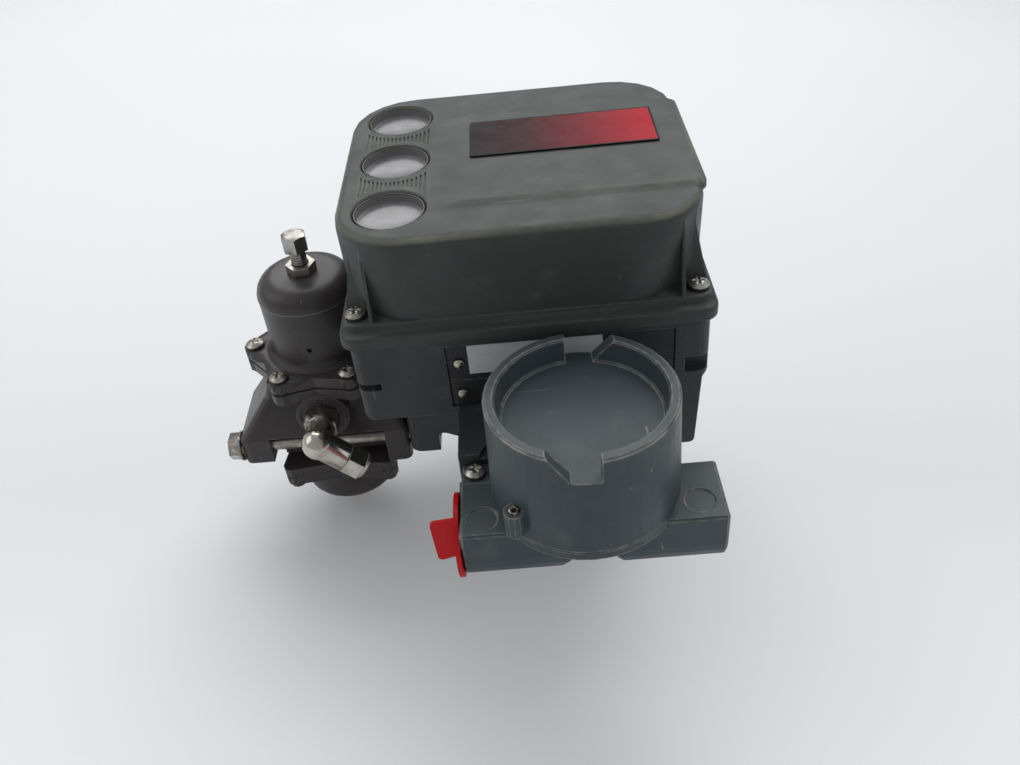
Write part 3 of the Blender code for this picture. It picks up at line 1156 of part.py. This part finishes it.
def make_dripwell():
    x, y = reg_axis
    flange = (bowl_flange_z - bowl_flange, bowl_flange_z)
    inner = bowl_radius - bowl_wall
    bowl = prism("dripwell", [bowl_lobes()], flange, REGULATOR_PAINT)
    carve(bowl, rod("bowl_flange_room", inner + bowl_wall / 2, (x, y, flange[0] - tool_reach),
                    (x, y, flange[1] + tool_reach)))
    drain_bore = drain_radius[1] + gap
    profile = [(bowl_radius, flange[1] - 1 * mm)]
    profile += arc((bowl_radius - bowl_fillet, bowl_bottom_z + bowl_fillet), bowl_fillet, 0, -80, 4)
    profile += [(bowl_boss_radius + 1 * mm, bowl_bottom_z), (bowl_boss_radius, bowl_bottom_z - 3.5 * mm),
                (drain_bore, bowl_bottom_z - 3.5 * mm), (drain_bore, bowl_bottom_z + bowl_wall),
                (inner - 5 * mm, bowl_bottom_z + bowl_wall), (inner, bowl_bottom_z + bowl_wall + 4 * mm),
                (inner, flange[1] - 1 * mm)]
    fuse(bowl, turned("bowl_shape", profile, (x, y, 0), sides=30, closed=True))
    for i in range(bowl_screw_count):
        at = polar(reg_axis, bowl_screw_circle, 45 + 90 * i)
        fuse(bowl, rod(f"bowl_screw_{i}", 4.2 * mm, (*at, flange[0] - 2.6 * mm), (*at, flange[0] + 1 * mm), sides=12))
    knob, stem = drain_radius
    low, high = drain_z
    turned("drain_valve", [(0, high), (stem, high), (stem, bowl_bottom_z - 4 * mm),
                           (knob, bowl_bottom_z - 4 * mm), (knob, low + 5 * mm), (stem + 1 * mm, low + 4 * mm),
                           (stem + 0.6 * mm, low), (0, low)], (x, y, 0), BRONZE, sides=small)


def make_regulator_bolts():
    across, high = reg_bolt_head
    for i, (lug_x, y) in enumerate(((reg_lug_x[0], -reg_bolt_y), (reg_back_lug_x[0], reg_bolt_y))):
        face = lug_x - gap
        bolt = hexagon(f"regulator_bolt_{i + 1}", across, (face - 1.4 * mm - high, y, reg_bolt_z),
                       (face - 1 * mm, y, reg_bolt_z), STEEL)
        fuse(bolt, rod(f"bolt_washer_{i}", 8 * mm, (face - 1.4 * mm, y, reg_bolt_z), (face, y, reg_bolt_z), sides=20),
             rod(f"bolt_shank_{i}", reg_bolt_radius, (face - 2 * mm, y, reg_bolt_z), (reg_bolt_end_x, y, reg_bolt_z),
                 sides=small))


# Inlet elbow

def make_elbow():
    x = reg_axis[0]
    across, high = elbow_hex
    hex_y = (reg_port_face_y - gap - high, reg_port_face_y - gap)
    knee = Vector((x, elbow_knee_y, reg_port_z))
    droop = math.radians(elbow_droop)
    out = Vector((math.cos(droop), 0, -math.sin(droop)))
    elbow = hexagon("inlet_elbow", across, (x, hex_y[0], reg_port_z), (x, hex_y[1], reg_port_z), NICKEL)
    ball = bpy.data.meshes.new("elbow_ball")
    bm = bmesh.new()
    bmesh.ops.create_uvsphere(bm, u_segments=20, v_segments=12, radius=elbow_radius * 1.12,
                              matrix=Matrix.Translation(knee))
    bm.to_mesh(ball)
    bm.free()
    fuse(elbow, rod("elbow_thread", reg_port_bore - gap, (x, hex_y[1] - 1 * mm, reg_port_z),
                    (x, reg_port_face_y + 12 * mm, reg_port_z), sides=small),
         rod("elbow_leg", elbow_radius, (x, hex_y[0] + 1 * mm, reg_port_z), knee, sides=20),
         tool_or_part("elbow_knee", ball, None),
         rod("elbow_arm", elbow_radius, knee, knee + out * elbow_reach, sides=20),
         rod("elbow_stub", elbow_stub_radius, knee, knee + out * (elbow_reach + elbow_stub), sides=small))
    carve(elbow, rod("elbow_outlet", tube_bore, knee, knee + out * (elbow_reach + elbow_stub + tool_reach), sides=bore),
          rod("elbow_inlet", tube_bore, knee, (x, reg_port_face_y + 13 * mm, reg_port_z), sides=bore))
    across, length = elbow_nut_size
    start = knee + out * (elbow_reach + gap)
    end = start + out * length
    nut = hexagon("elbow_nut", across, start, end - out * 2 * mm, NICKEL, spin=math.radians(20), origin=start)
    fuse(nut, rod("nut_collar", across / 2 - 0.4 * mm, end - out * 3 * mm, end, sides=20,
                  tip_radius=across / 2 - 1 * mm))
    carve(nut, rod("nut_room", elbow_stub_radius + gap, start - out * tool_reach, start + out * (elbow_stub + gap),
                   sides=small),
          rod("nut_tube_hole", tube_bore + gap, start, end + out * tool_reach, sides=small))


make_housing()
make_nameplates()
make_cover_gasket()
make_cover()
make_cover_fittings()
make_module()
make_travel_sensor()
make_terminal_box()
make_terminal_cap()
make_terminal_block()
make_conduit_plug()
make_regulator_body()
make_spring_case()
make_regulator_inside()
make_adjuster()
make_dripwell()
make_regulator_bolts()
make_elbow()
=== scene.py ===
"""Looks of the valve positioner: worn paint, moulded cover, tarnished fasteners, floor, light and camera."""

import json
import math

import bmesh
import bpy
from mathutils import Matrix, Vector

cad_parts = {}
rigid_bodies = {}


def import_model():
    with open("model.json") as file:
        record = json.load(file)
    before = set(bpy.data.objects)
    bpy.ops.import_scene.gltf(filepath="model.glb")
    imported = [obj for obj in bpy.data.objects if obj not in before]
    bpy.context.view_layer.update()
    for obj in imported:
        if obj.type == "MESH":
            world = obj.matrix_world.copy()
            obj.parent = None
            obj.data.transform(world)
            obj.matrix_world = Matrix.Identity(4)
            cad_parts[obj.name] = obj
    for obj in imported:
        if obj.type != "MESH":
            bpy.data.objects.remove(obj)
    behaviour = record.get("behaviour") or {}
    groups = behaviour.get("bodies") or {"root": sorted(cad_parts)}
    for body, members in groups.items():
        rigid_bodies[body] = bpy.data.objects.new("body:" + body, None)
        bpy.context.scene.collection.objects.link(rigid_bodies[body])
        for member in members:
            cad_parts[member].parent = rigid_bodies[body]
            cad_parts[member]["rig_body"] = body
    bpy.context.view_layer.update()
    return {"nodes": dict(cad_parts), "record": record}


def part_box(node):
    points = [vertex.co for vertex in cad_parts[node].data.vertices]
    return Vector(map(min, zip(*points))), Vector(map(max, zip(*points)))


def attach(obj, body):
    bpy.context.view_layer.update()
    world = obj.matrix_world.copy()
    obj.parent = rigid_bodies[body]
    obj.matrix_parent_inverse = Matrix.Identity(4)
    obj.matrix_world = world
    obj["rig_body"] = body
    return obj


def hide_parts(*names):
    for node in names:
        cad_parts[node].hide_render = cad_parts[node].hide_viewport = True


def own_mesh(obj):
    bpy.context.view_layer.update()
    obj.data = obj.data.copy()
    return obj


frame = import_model()
NODES = frame["nodes"]
SLOT_OF = {part["node"]: part["material_slot"] for part in frame["record"]["subparts"]}

mm = 0.001

# Camera, as the photograph was taken
camera_at = (2.0 * mm, -387.6 * mm, 337.2 * mm)
camera_turn = (50.033, 4.815, -1.810)  # degrees
camera_lens = 33.1
camera_sensor = 36  # millimetres wide

# Table under the object, which lies propped on its drain valve
floor_point = (-107.5 * mm, 0.0, -57.2 * mm)  # under the drain valve, the lowest piece
floor_fall = (0.095, 0.026)  # how far it falls away towards +X and +Y, per metre
floor_size = 6.0

# Windows of the cover, the cups that line them and the dials below
cover_top_z = 147.0 * mm
window_x = -53.8 * mm
window_ys = [(2.8 + step * 43.7) * mm for step in (-1, 0, 1)]
cup_radius = 15.05 * mm
cup_wall = 0.45 * mm
cup_z = (139.65 * mm, 146.3 * mm)
cup_floor = 2.6 * mm
cup_fillet = 1.2 * mm
cup_fillet_middle = 0.35 * mm
dial_inner = (9.0 * mm, 10.5 * mm)  # radii between which the dials' ring begins to show
dial_outer = (13.0 * mm, 11.8 * mm)

# Bare labels
label_border = 0.9 * mm
silver_x = (-27.2 * mm, 31.0 * mm)
silver_z = (79.6 * mm, 95.0 * mm)
silver_thickness = 0.15 * mm
silver_gap = 0.02 * mm

# Seam of the spring case, a dark line with a painted highlight above it, and thread of the adjusting screw,
# whose grooves get painted shade
case_seam_z = 85.4 * mm
seam_line = 0.5 * mm
seam_soft = 0.08 * mm
screw_at = (-107.5 * mm, 0.0)
screw_radius = 3.95 * mm
thread_pitch = 25.4 / 18 * mm

# Rim of the terminal cap, where the paint is rubbed off: each pair is how far from the edge
# the bare metal begins and is full
cap_at = (18.0 * mm, -117.0 * mm)
cap_top_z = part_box("terminal_cap")[1].z
cap_radius = 38.6 * mm
rim_side = (1.3 * mm, 0.4 * mm)
rim_top = (1.5 * mm, 0.9 * mm)

# Finer copies of the solids
smooth_angle = 32  # degrees, past which an edge stays sharp
weld_distance = 0.002 * mm
lathe_sides = 64

# Nodes whose own solids already shade well
SHARP_AS_BUILT = ("terminal_cap", "terminal_box", "cover_label", "conduit_plug", "regulator_body",
                  "housing", "elbow_nut", "lock_nut", "adjusting_screw")

# Springs that flatten in their joints, here only given meshes of their own: the joint, the height of the end
# that stays and the share of the length that is left at the joint's longer limit
SPRING_KEEP = {
    "control_spring": ("seat_travel", 50.6 * mm, 0.79),
    "valve_spring": ("valve_stroke", 6.3 * mm, 0.77),
}


# Shader helpers

def add(tree, kind, inputs=None, **settings):
    """A shader node with its settings and its inputs, each a value or another node's output."""
    made = tree.nodes.new(kind)
    for key, value in settings.items():
        setattr(made, key, value)
    for key, value in (inputs or {}).items():
        if isinstance(value, bpy.types.NodeSocket):
            tree.links.new(value, made.inputs[key])
        else:
            made.inputs[key].default_value = value
    return made


def position(tree):
    """The shaded point in the object's own coordinates, as X, Y and Z."""
    where = add(tree, "ShaderNodeTexCoord").outputs["Object"]
    return add(tree, "ShaderNodeSeparateXYZ", {0: where}).outputs


def facing(tree):
    """The normal of the shaded point, as X, Y and Z."""
    normal = add(tree, "ShaderNodeNewGeometry").outputs["Normal"]
    return add(tree, "ShaderNodeSeparateXYZ", {0: normal}).outputs


def away_from(tree, centre):
    """How far the shaded point lies from the upright line through a point."""
    part = position(tree)
    flat = add(tree, "ShaderNodeCombineXYZ", {0: part["X"], 1: part["Y"], 2: 0.0}).outputs[0]
    return add(tree, "ShaderNodeVectorMath", {0: flat, 1: (*centre, 0.0)},
               operation="DISTANCE").outputs["Value"]


def noise(tree, scale, detail, stretch=(1, 1, 1)):
    where = add(tree, "ShaderNodeTexCoord").outputs["Object"]
    placed = add(tree, "ShaderNodeMapping", {"Vector": where, "Scale": stretch}).outputs["Vector"]
    return add(tree, "ShaderNodeTexNoise", {"Vector": placed, "Scale": scale, "Detail": detail,
                                            "Roughness": 0.55}).outputs["Fac"]


def spread(tree, value, low, high, to_low=0.0, to_high=1.0):
    """A value mapped from low...high to to_low...to_high, and held at both ends."""
    return add(tree, "ShaderNodeMapRange", {"Value": value, "From Min": low, "From Max": high,
                                            "To Min": to_low, "To Max": to_high}).outputs["Result"]


def mottle(tree, scale, detail, low, high, to_low=0.0, to_high=1.0, stretch=(1, 1, 1)):
    """Noise whose values between low and high are spread out."""
    return spread(tree, noise(tree, scale, detail, stretch), low, high, to_low, to_high)


def maths(tree, operation, *values):
    return add(tree, "ShaderNodeMath", dict(enumerate(values)), operation=operation).outputs[0]


def times(tree, first, second):
    return maths(tree, "MULTIPLY", first, second)


def most(tree, first, second):
    return maths(tree, "MAXIMUM", first, second)


def mix(tree, share, first, second):
    pair = [(*c, 1.0) if isinstance(c, tuple) else c for c in (first, second)]
    return add(tree, "ShaderNodeMix", {0: share, 6: pair[0], 7: pair[1]}, data_type="RGBA").outputs[2]


def rounded_normal(tree, radius):
    return add(tree, "ShaderNodeBevel", {"Radius": radius}, samples=6).outputs["Normal"]


def openness(tree, distance):
    """1 in the open, and less where something stands within the distance."""
    return add(tree, "ShaderNodeAmbientOcclusion", {"Distance": distance}, samples=4).outputs["AO"]


def edge_mask(tree, rounded, open_low):
    """1 on outer edges, where the rounded normal leaves the true one and nothing stands close by."""
    true = add(tree, "ShaderNodeNewGeometry").outputs["Normal"]
    agree = add(tree, "ShaderNodeVectorMath", {0: rounded, 1: true},
                operation="DOT_PRODUCT").outputs["Value"]
    bend = spread(tree, agree, 0.997, 0.93)
    return times(tree, bend, spread(tree, openness(tree, 1.5 * mm), open_low, open_low + 0.3))


def new_material(name):
    made = bpy.data.materials.new(name)
    made.use_nodes = True
    return made, made.node_tree, made.node_tree.nodes["Principled BSDF"]


def connect(tree, shader, colour, roughness, height, strength, rounded, depth=0.3 * mm):
    bump = add(tree, "ShaderNodeBump", {"Height": height, "Strength": strength, "Distance": depth,
                                        "Normal": rounded}).outputs["Normal"]
    tree.links.new(colour, shader.inputs["Base Color"])
    tree.links.new(roughness, shader.inputs["Roughness"])
    tree.links.new(bump, shader.inputs["Normal"])


def lay_over(made, share, colour):
    """Lays a colour over the base colour that a material already has."""
    tree = made.node_tree
    base = tree.nodes["Principled BSDF"].inputs["Base Color"]
    tree.links.new(mix(tree, share, base.links[0].from_socket, colour), base)


# Materials

def worn_paint(name, colour, worn, gloss=0.42, grain=900.0, edge=0.7 * mm, wear=0.45,
               stain=(0.3, 0.28, 0.24), scuff=0.5, specular=0.4, rim_wear_and_highlight=None, open_low=0.55):
    """Paint or moulded plastic with mottling, fine grain, rubbed edges, scratches and faint stains, and if
    asked a lighter band round the top edge that is partly rubbed paint and partly painted highlight.
    """
    made, tree, shader = new_material(name)
    rounded = rounded_normal(tree, edge)
    dark = tuple(c * 0.86 for c in colour)
    light = tuple(min(c * 1.12, 1.0) for c in colour)
    base = mix(tree, mottle(tree, 28.0, 4.0, 0.32, 0.68), dark, light)
    base = mix(tree, mottle(tree, 75.0, 5.0, 0.58, 0.8, 0.0, 0.16), base, stain)
    chips = mottle(tree, 260.0, 4.0, 0.42, 0.62, wear * 0.35, 1.0)
    rubbed = times(tree, edge_mask(tree, rounded, open_low), chips)
    scratches = most(tree, mottle(tree, 9.0, 2.0, 0.715, 0.74, stretch=(1.0, 42.0, 9.0)),
                     mottle(tree, 8.0, 2.0, 0.725, 0.75, stretch=(38.0, 3.0, 7.0)))
    scratches = times(tree, scratches, mottle(tree, 40.0, 2.0, 0.5, 0.62, 0.0, scuff))
    marks = most(tree, times(tree, rubbed, 0.9), scratches)
    base = mix(tree, marks, base, worn)
    # A lighter band on the upturned fillet round the cover's top edge: partly rubbed paint, partly a painted
    # highlight
    if rim_wear_and_highlight:
        lean = facing(tree)["Z"]
        height = position(tree)["Z"]
        band = times(tree, spread(tree, lean, 0.1, 0.5), spread(tree, lean, 0.985, 0.85))
        band = times(tree, band, spread(tree, height, cover_top_z - 4 * mm, cover_top_z - 3 * mm))
        base = mix(tree, times(tree, band, mottle(tree, 34.0, 5.0, 0.35, 0.65, 0.25, 0.85)), base, rim_wear_and_highlight)
    dull = mottle(tree, 60.0, 4.0, 0.3, 0.7, gloss - 0.07, gloss + 0.1)
    roughness = maths(tree, "SUBTRACT", dull, times(tree, marks, 0.12))
    connect(tree, shader, base, roughness, noise(tree, grain, 2.0), 0.16, rounded)
    shader.inputs["Specular IOR Level"].default_value = specular
    return made


def worn_metal(name, colour, tarnish, gloss=0.3, amount=0.6):
    """Bare or plated metal, brown in patches and in its recesses."""
    made, tree, shader = new_material(name)
    rounded = rounded_normal(tree, 0.35 * mm)
    patches = mottle(tree, 170.0, 5.0, 0.42, 0.68, 0.0, amount)
    recesses = spread(tree, openness(tree, 2.5 * mm), 0.75, 0.35, 0.0, min(amount + 0.25, 1.0))
    grime = most(tree, patches, recesses)
    base = mix(tree, grime, colour, tarnish)
    roughness = spread(tree, grime, 0.0, 1.0, gloss, gloss + 0.25)
    connect(tree, shader, base, roughness, noise(tree, 500.0, 3.0), 0.12, rounded, 0.2 * mm)
    shader.inputs["Metallic"].default_value = 1.0
    return made


def threaded_steel():
    """The tarnished steel of the adjusting screw, with painted shade in the grooves of its 18 threads to the
    inch on the shank.
    """
    made = worn_metal("threaded_steel_look", (0.5, 0.49, 0.46), (0.17, 0.14, 0.11), gloss=0.34,
                      amount=0.75)
    tree = made.node_tree
    shank = spread(tree, away_from(tree, screw_at), screw_radius + 0.5 * mm, screw_radius + 0.25 * mm)
    # Dark lines at the thread's pitch along the shank: painted shade in the grooves
    wave = maths(tree, "SINE", times(tree, position(tree)["Z"], 2 * math.pi / thread_pitch))
    groove_shade = times(tree, shank, spread(tree, wave, -0.2, 0.9))
    lay_over(made, times(tree, groove_shade, 0.75), (0.06, 0.05, 0.04))
    return made


def plain_coat(name, colour, gloss, grain=700.0, strength=0.12, specular=0.5):
    """An even moulded or rubber surface with slight mottling and grain."""
    made, tree, shader = new_material(name)
    rounded = rounded_normal(tree, 0.3 * mm)
    dark = tuple(c * 0.88 for c in colour)
    light = tuple(min(c * 1.06, 1.0) for c in colour)
    base = mix(tree, mottle(tree, 90.0, 4.0, 0.35, 0.65), dark, light)
    roughness = mottle(tree, 120.0, 3.0, 0.3, 0.7, gloss - 0.05, gloss + 0.08)
    connect(tree, shader, base, roughness, noise(tree, grain, 2.0), strength, rounded)
    shader.inputs["Specular IOR Level"].default_value = specular
    return made


def label_film():
    """A bare label that goes from black through dark red to bright red, with a thin dark border."""
    made, tree, shader = new_material("label_film_look")
    low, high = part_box("cover_label")
    part = position(tree)
    along = spread(tree, part["X"], low.x, high.x)
    across = spread(tree, part["Y"], low.y, high.y)
    shade = add(tree, "ShaderNodeValToRGB", {"Fac": along})
    ramp = shade.color_ramp.elements
    ramp[0].color = (0.006, 0.004, 0.005, 1)
    ramp[1].position = 0.96
    ramp[1].color = (0.5, 0.008, 0.022, 1)
    for place, colour in ((0.3, (0.045, 0.006, 0.009, 1)), (0.62, (0.2, 0.008, 0.017, 1))):
        ramp.new(place).color = colour
    inside = 1.0
    for share, side in ((along, high.x - low.x), (across, high.y - low.y)):
        inset = label_border / side
        inside = times(tree, inside, spread(tree, share, inset, inset * 1.15))
        inside = times(tree, inside, spread(tree, share, 1 - inset, 1 - inset * 1.15))
    base = mix(tree, inside, (0.012, 0.01, 0.011), shade.outputs["Color"])
    rubs = mottle(tree, 30.0, 3.0, 0.68, 0.8, 0.0, 0.14, (3.0, 26.0, 1.0))
    base = mix(tree, rubs, base, (0.35, 0.28, 0.28))
    roughness = mottle(tree, 110.0, 4.0, 0.3, 0.7, 0.42, 0.55)
    connect(tree, shader, base, roughness, noise(tree, 400.0, 2.0), 0.03, rounded_normal(tree, 0.15 * mm))
    shader.inputs["Specular IOR Level"].default_value = 0.12
    return made


def silver_foil():
    """The bare silver label on the upper nameplate, without print."""
    made, tree, shader = new_material("silver_foil_look")
    base = mix(tree, mottle(tree, 60.0, 4.0, 0.3, 0.7), (0.66, 0.68, 0.68), (0.8, 0.82, 0.82))
    rubs = mottle(tree, 40.0, 3.0, 0.62, 0.75, 0.0, 0.3, (2.0, 1.0, 30.0))
    base = mix(tree, rubs, base, (0.12, 0.12, 0.12))
    roughness = mottle(tree, 90.0, 3.0, 0.3, 0.7, 0.35, 0.5)
    connect(tree, shader, base, roughness, noise(tree, 300.0, 2.0), 0.04, rounded_normal(tree, 0.1 * mm))
    shader.inputs["Metallic"].default_value = 0.2
    return made


def frosted_lens():
    """Pale scuffed window plastic with a greyer band where the dials lie below, painted shade on the side
    walls of the cups and a near-black line of painted shade along their top rim.
    """
    made, tree, shader = new_material("frosted_lens_look")
    base = mix(tree, mottle(tree, 55.0, 4.0, 0.35, 0.7), (0.21, 0.208, 0.212), (0.33, 0.325, 0.33))
    # Faces that turn to the side, the walls of the cups, are darkened: painted shade
    base = mix(tree, spread(tree, facing(tree)["Z"], 0.75, 0.3), base, (0.19, 0.187, 0.187))
    # A near-black line along the top rim of each cup: painted shade
    painted_rim_shade = spread(tree, position(tree)["Z"], cup_z[1] - 0.5 * mm, cup_z[1] - 0.25 * mm)
    base = mix(tree, painted_rim_shade, base, (0.05, 0.05, 0.05))
    dials = 0.0
    for y in window_ys:
        away = away_from(tree, (window_x, y))
        ring = times(tree, spread(tree, away, *dial_inner), spread(tree, away, *dial_outer))
        dials = most(tree, dials, ring)
    base = mix(tree, times(tree, dials, 0.25), base, (0.2, 0.2, 0.21))
    roughness = mottle(tree, 200.0, 4.0, 0.3, 0.7, 0.12, 0.32)
    connect(tree, shader, base, roughness, noise(tree, 160.0, 3.0), 0.05, rounded_normal(tree, 0.3 * mm))
    return made


def regulator_paint():
    """The brown-grey paint of the regulator, with a dark line at the crimped seam of the spring case and a
    painted highlight just above it.
    """
    made = worn_paint("regulator_look", (0.062, 0.054, 0.055), (0.25, 0.22, 0.19), gloss=0.34, wear=0.5,
                      stain=(0.2, 0.16, 0.13))
    tree = made.node_tree
    height = position(tree)["Z"]
    # The dark line marks the seam itself; the light line above it is a painted highlight
    dark_line = (case_seam_z - seam_line, (0.012, 0.011, 0.011))
    painted_highlight_line = (case_seam_z, (0.24, 0.22, 0.21))
    for low, colour in (dark_line, painted_highlight_line):
        high = low + seam_line
        line = times(tree, spread(tree, height, low, low + seam_soft),
                     spread(tree, height, high, high - seam_soft))
        lay_over(made, times(tree, line, 0.8), colour)
    return made


def box_paint():
    """The blue-grey paint of the terminal box: bright bare metal shows on its worn edges."""
    made = worn_paint("box_paint_look", (0.06, 0.08, 0.088), (0.5, 0.46, 0.4), gloss=0.4,
                      edge=1.1 * mm, wear=1.0, scuff=0.6, open_low=0.45)
    tree = made.node_tree
    side = spread(tree, away_from(tree, cap_at), cap_radius - rim_side[0], cap_radius - rim_side[1])
    top = spread(tree, position(tree)["Z"], cap_top_z - rim_top[0], cap_top_z - rim_top[1])
    patchy = mottle(tree, 55.0, 5.0, 0.42, 0.6, 0.0, 0.9)
    lay_over(made, times(tree, times(tree, side, top), patchy), (0.6, 0.57, 0.5))
    return made


LOOKS = {
    # The cover's rim colour is a band of worn paint and painted highlight along its top edge
    "cover_plastic": worn_paint("cover_look", (0.061, 0.069, 0.064), (0.22, 0.21, 0.165), gloss=0.45,
                                edge=0.8 * mm, wear=0.6, grain=700.0, specular=0.3,
                                rim_wear_and_highlight=(0.26, 0.255, 0.2)),
    "housing_paint": worn_paint("housing_look", (0.044, 0.048, 0.05), (0.2, 0.19, 0.17), gloss=0.45,
                                wear=0.5),
    "box_paint": box_paint(),
    "regulator_paint": regulator_paint(),
    "nameplate": worn_paint("nameplate_look", (0.03, 0.033, 0.036), (0.24, 0.23, 0.21), gloss=0.36,
                            wear=0.5),
    "screw_steel": worn_metal("screw_steel_look", (0.56, 0.54, 0.49), (0.19, 0.15, 0.11), amount=0.7),
    "nickel_plate": worn_metal("nickel_look", (0.7, 0.67, 0.6), (0.3, 0.25, 0.18), gloss=0.2,
                               amount=0.55),
    "aluminium": worn_metal("aluminium_look", (0.66, 0.66, 0.66), (0.4, 0.39, 0.37), gloss=0.4,
                            amount=0.4),
    "bronze": worn_metal("bronze_look", (0.5, 0.36, 0.2), (0.2, 0.13, 0.07), gloss=0.35),
    "rubber": plain_coat("rubber_look", (0.022, 0.022, 0.023), 0.62),
    "red_plastic": plain_coat("red_plastic_look", (0.66, 0.008, 0.012), 0.42, strength=0.06,
                              specular=0.22),
    "label_film": label_film(),
    "clear_plastic": frosted_lens(),
    "dark_plastic": plain_coat("dark_plastic_look", (0.03, 0.03, 0.032), 0.5),
    "dial_white": plain_coat("dial_look", (0.72, 0.72, 0.7), 0.5, strength=0.03),
    "filter_felt": plain_coat("felt_look", (0.5, 0.45, 0.36), 0.85, grain=1400.0, strength=0.5),
}

for node, piece in NODES.items():
    look = threaded_steel() if node == "adjusting_screw" else LOOKS[SLOT_OF[node]]
    for place in piece.material_slots:
        place.material = look


# Pieces

def new_object(name, data):
    made = bpy.data.objects.new(name, data)
    bpy.context.scene.collection.objects.link(made)
    return made


def new_mesh(name, bm):
    """A mesh from a bmesh, which is freed."""
    mesh = bpy.data.meshes.new(name)
    bm.to_mesh(mesh)
    bm.free()
    return mesh


def smooth(mesh):
    mesh.shade_smooth()
    mesh.set_sharp_from_angle(angle=math.radians(smooth_angle))


def smoothed(node):
    """A copy of a solid whose curved faces shade as curves."""
    source = NODES[node]
    mesh = source.data.copy()
    bm = bmesh.new()
    bm.from_mesh(mesh)
    bmesh.ops.remove_doubles(bm, verts=bm.verts, dist=weld_distance)
    bm.to_mesh(mesh)
    bm.free()
    smooth(mesh)
    made = new_object(f"{node}_smooth", mesh)
    weigh = made.modifiers.new("weigh", "WEIGHTED_NORMAL")
    weigh.keep_sharp = True
    mesh.materials.clear()
    mesh.materials.append(LOOKS[SLOT_OF[node]])
    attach(made, source["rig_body"])
    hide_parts(node)
    return made


def lathe(name, profile, at):
    """A closed body turned about +Z through a point, from (radius, height) pairs that end on the axis."""
    bm = bmesh.new()
    turns = [2 * math.pi * i / lathe_sides for i in range(lathe_sides)]
    rings = []
    for radius, z in profile:
        around = turns if radius else turns[:1]
        rings.append([bm.verts.new((at[0] + radius * math.cos(turn), at[1] + radius * math.sin(turn), z))
                      for turn in around])
    for first, second in zip(rings, rings[1:]):
        for i in range(lathe_sides):
            corners = [first[i % len(first)], first[(i + 1) % len(first)],
                       second[(i + 1) % len(second)], second[i % len(second)]]
            bm.faces.new(list(dict.fromkeys(corners)))
    bmesh.ops.recalc_face_normals(bm, faces=bm.faces)
    mesh = new_mesh(name, bm)
    smooth(mesh)
    return new_object(name, mesh)


def make_cups():
    """The pale moulded cups of the window plastic, which line the wells above the lens."""
    bottom, top = cup_z
    floor = bottom + cup_floor
    inside = cup_radius - cup_wall
    profile = [(0, bottom), (cup_radius, bottom), (cup_radius, top), (inside, top),
               (inside, floor + cup_fillet),
               (inside - cup_fillet_middle, floor + cup_fillet_middle),
               (inside - cup_fillet, floor), (0, floor)]
    for i, y in enumerate(window_ys):
        made = lathe(f"window_cup_{i}", profile, (window_x, y))
        made.data.materials.append(LOOKS["clear_plastic"])
        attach(made, NODES["window_lens"]["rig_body"])


def make_silver_label():
    """A thin box on the front of the upper nameplate."""
    low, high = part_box("upper_nameplate")
    size = (silver_x[1] - silver_x[0], silver_thickness, silver_z[1] - silver_z[0])
    middle = (sum(silver_x) / 2, low.y - silver_thickness / 2 - silver_gap, sum(silver_z) / 2)
    bm = bmesh.new()
    bmesh.ops.create_cube(bm, size=1)
    bmesh.ops.transform(bm, matrix=Matrix.LocRotScale(middle, None, size), verts=bm.verts)
    mesh = new_mesh("silver_label", bm)
    made = new_object("silver_label", mesh)
    mesh.materials.append(silver_foil())
    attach(made, NODES["upper_nameplate"]["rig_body"])


for node in NODES:
    if node not in SHARP_AS_BUILT:
        made = smoothed(node)
        if node in SPRING_KEEP:
            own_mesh(made)
make_cups()
make_silver_label()


# Floor, light and camera

def floor_coat():
    """A pale table that glows a little where the camera sees it close by."""
    made, tree, shader = new_material("floor_look")
    tone = mix(tree, mottle(tree, 1.2, 2.0, 0.3, 0.7), (0.82, 0.835, 0.85), (0.88, 0.89, 0.9))
    tree.links.new(tone, shader.inputs["Base Color"])
    shader.inputs["Roughness"].default_value = 0.6
    seen = add(tree, "ShaderNodeLightPath").outputs["Is Camera Ray"]
    lift = times(tree, seen, spread(tree, position(tree)["Y"], 0.0, -0.3, 0.05, 0.22))
    shader.inputs["Emission Color"].default_value = (0.97, 0.985, 1.0, 1)
    tree.links.new(lift, shader.inputs["Emission Strength"])
    return made


def make_floor():
    normal = Vector((*floor_fall, 1)).normalized()
    turn = Vector((0, 0, 1)).rotation_difference(normal).to_matrix().to_4x4()
    bm = bmesh.new()
    bmesh.ops.create_grid(bm, x_segments=1, y_segments=1, size=floor_size,
                          matrix=Matrix.Translation(floor_point) @ turn)
    mesh = new_mesh("floor", bm)
    mesh.materials.append(floor_coat())
    floor = new_object("floor", mesh)


def make_light():
    world = bpy.data.worlds.new("room")
    bpy.context.scene.world = world
    world.use_nodes = True
    back = world.node_tree.nodes["Background"]
    back.inputs["Color"].default_value = (0.93, 0.96, 1.0, 1)
    back.inputs["Strength"].default_value = 0.34
    panels = (
        ("ceiling", (0.1, 1.1, 1.35), (2.0, 1.5), 22.0),
        ("side", (-1.5, -0.1, 1.1), (1.2, 1.2), 4.5),
        ("right", (1.6, -0.3, 0.9), (1.2, 1.2), 3.0),
    )
    for name, place, size, power in panels:
        lamp = bpy.data.lights.new(name, "AREA")
        lamp.shape = "RECTANGLE"
        lamp.size, lamp.size_y = size
        lamp.energy = power
        made = new_object(name, lamp)
        made.location = place
        made.rotation_euler = (-Vector(place)).to_track_quat("-Z", "Y").to_euler()


def make_camera():
    lens = bpy.data.cameras.new("photo_camera")
    lens.lens = camera_lens
    lens.sensor_width = camera_sensor
    lens.clip_start = 0.01
    made = new_object("photo_camera", lens)
    made.location = camera_at
    made.rotation_euler = [math.radians(a) for a in camera_turn]
    bpy.context.scene.camera = made


make_floor()
make_light()
make_camera()
bpy.context.scene.view_settings.view_transform = "Standard"
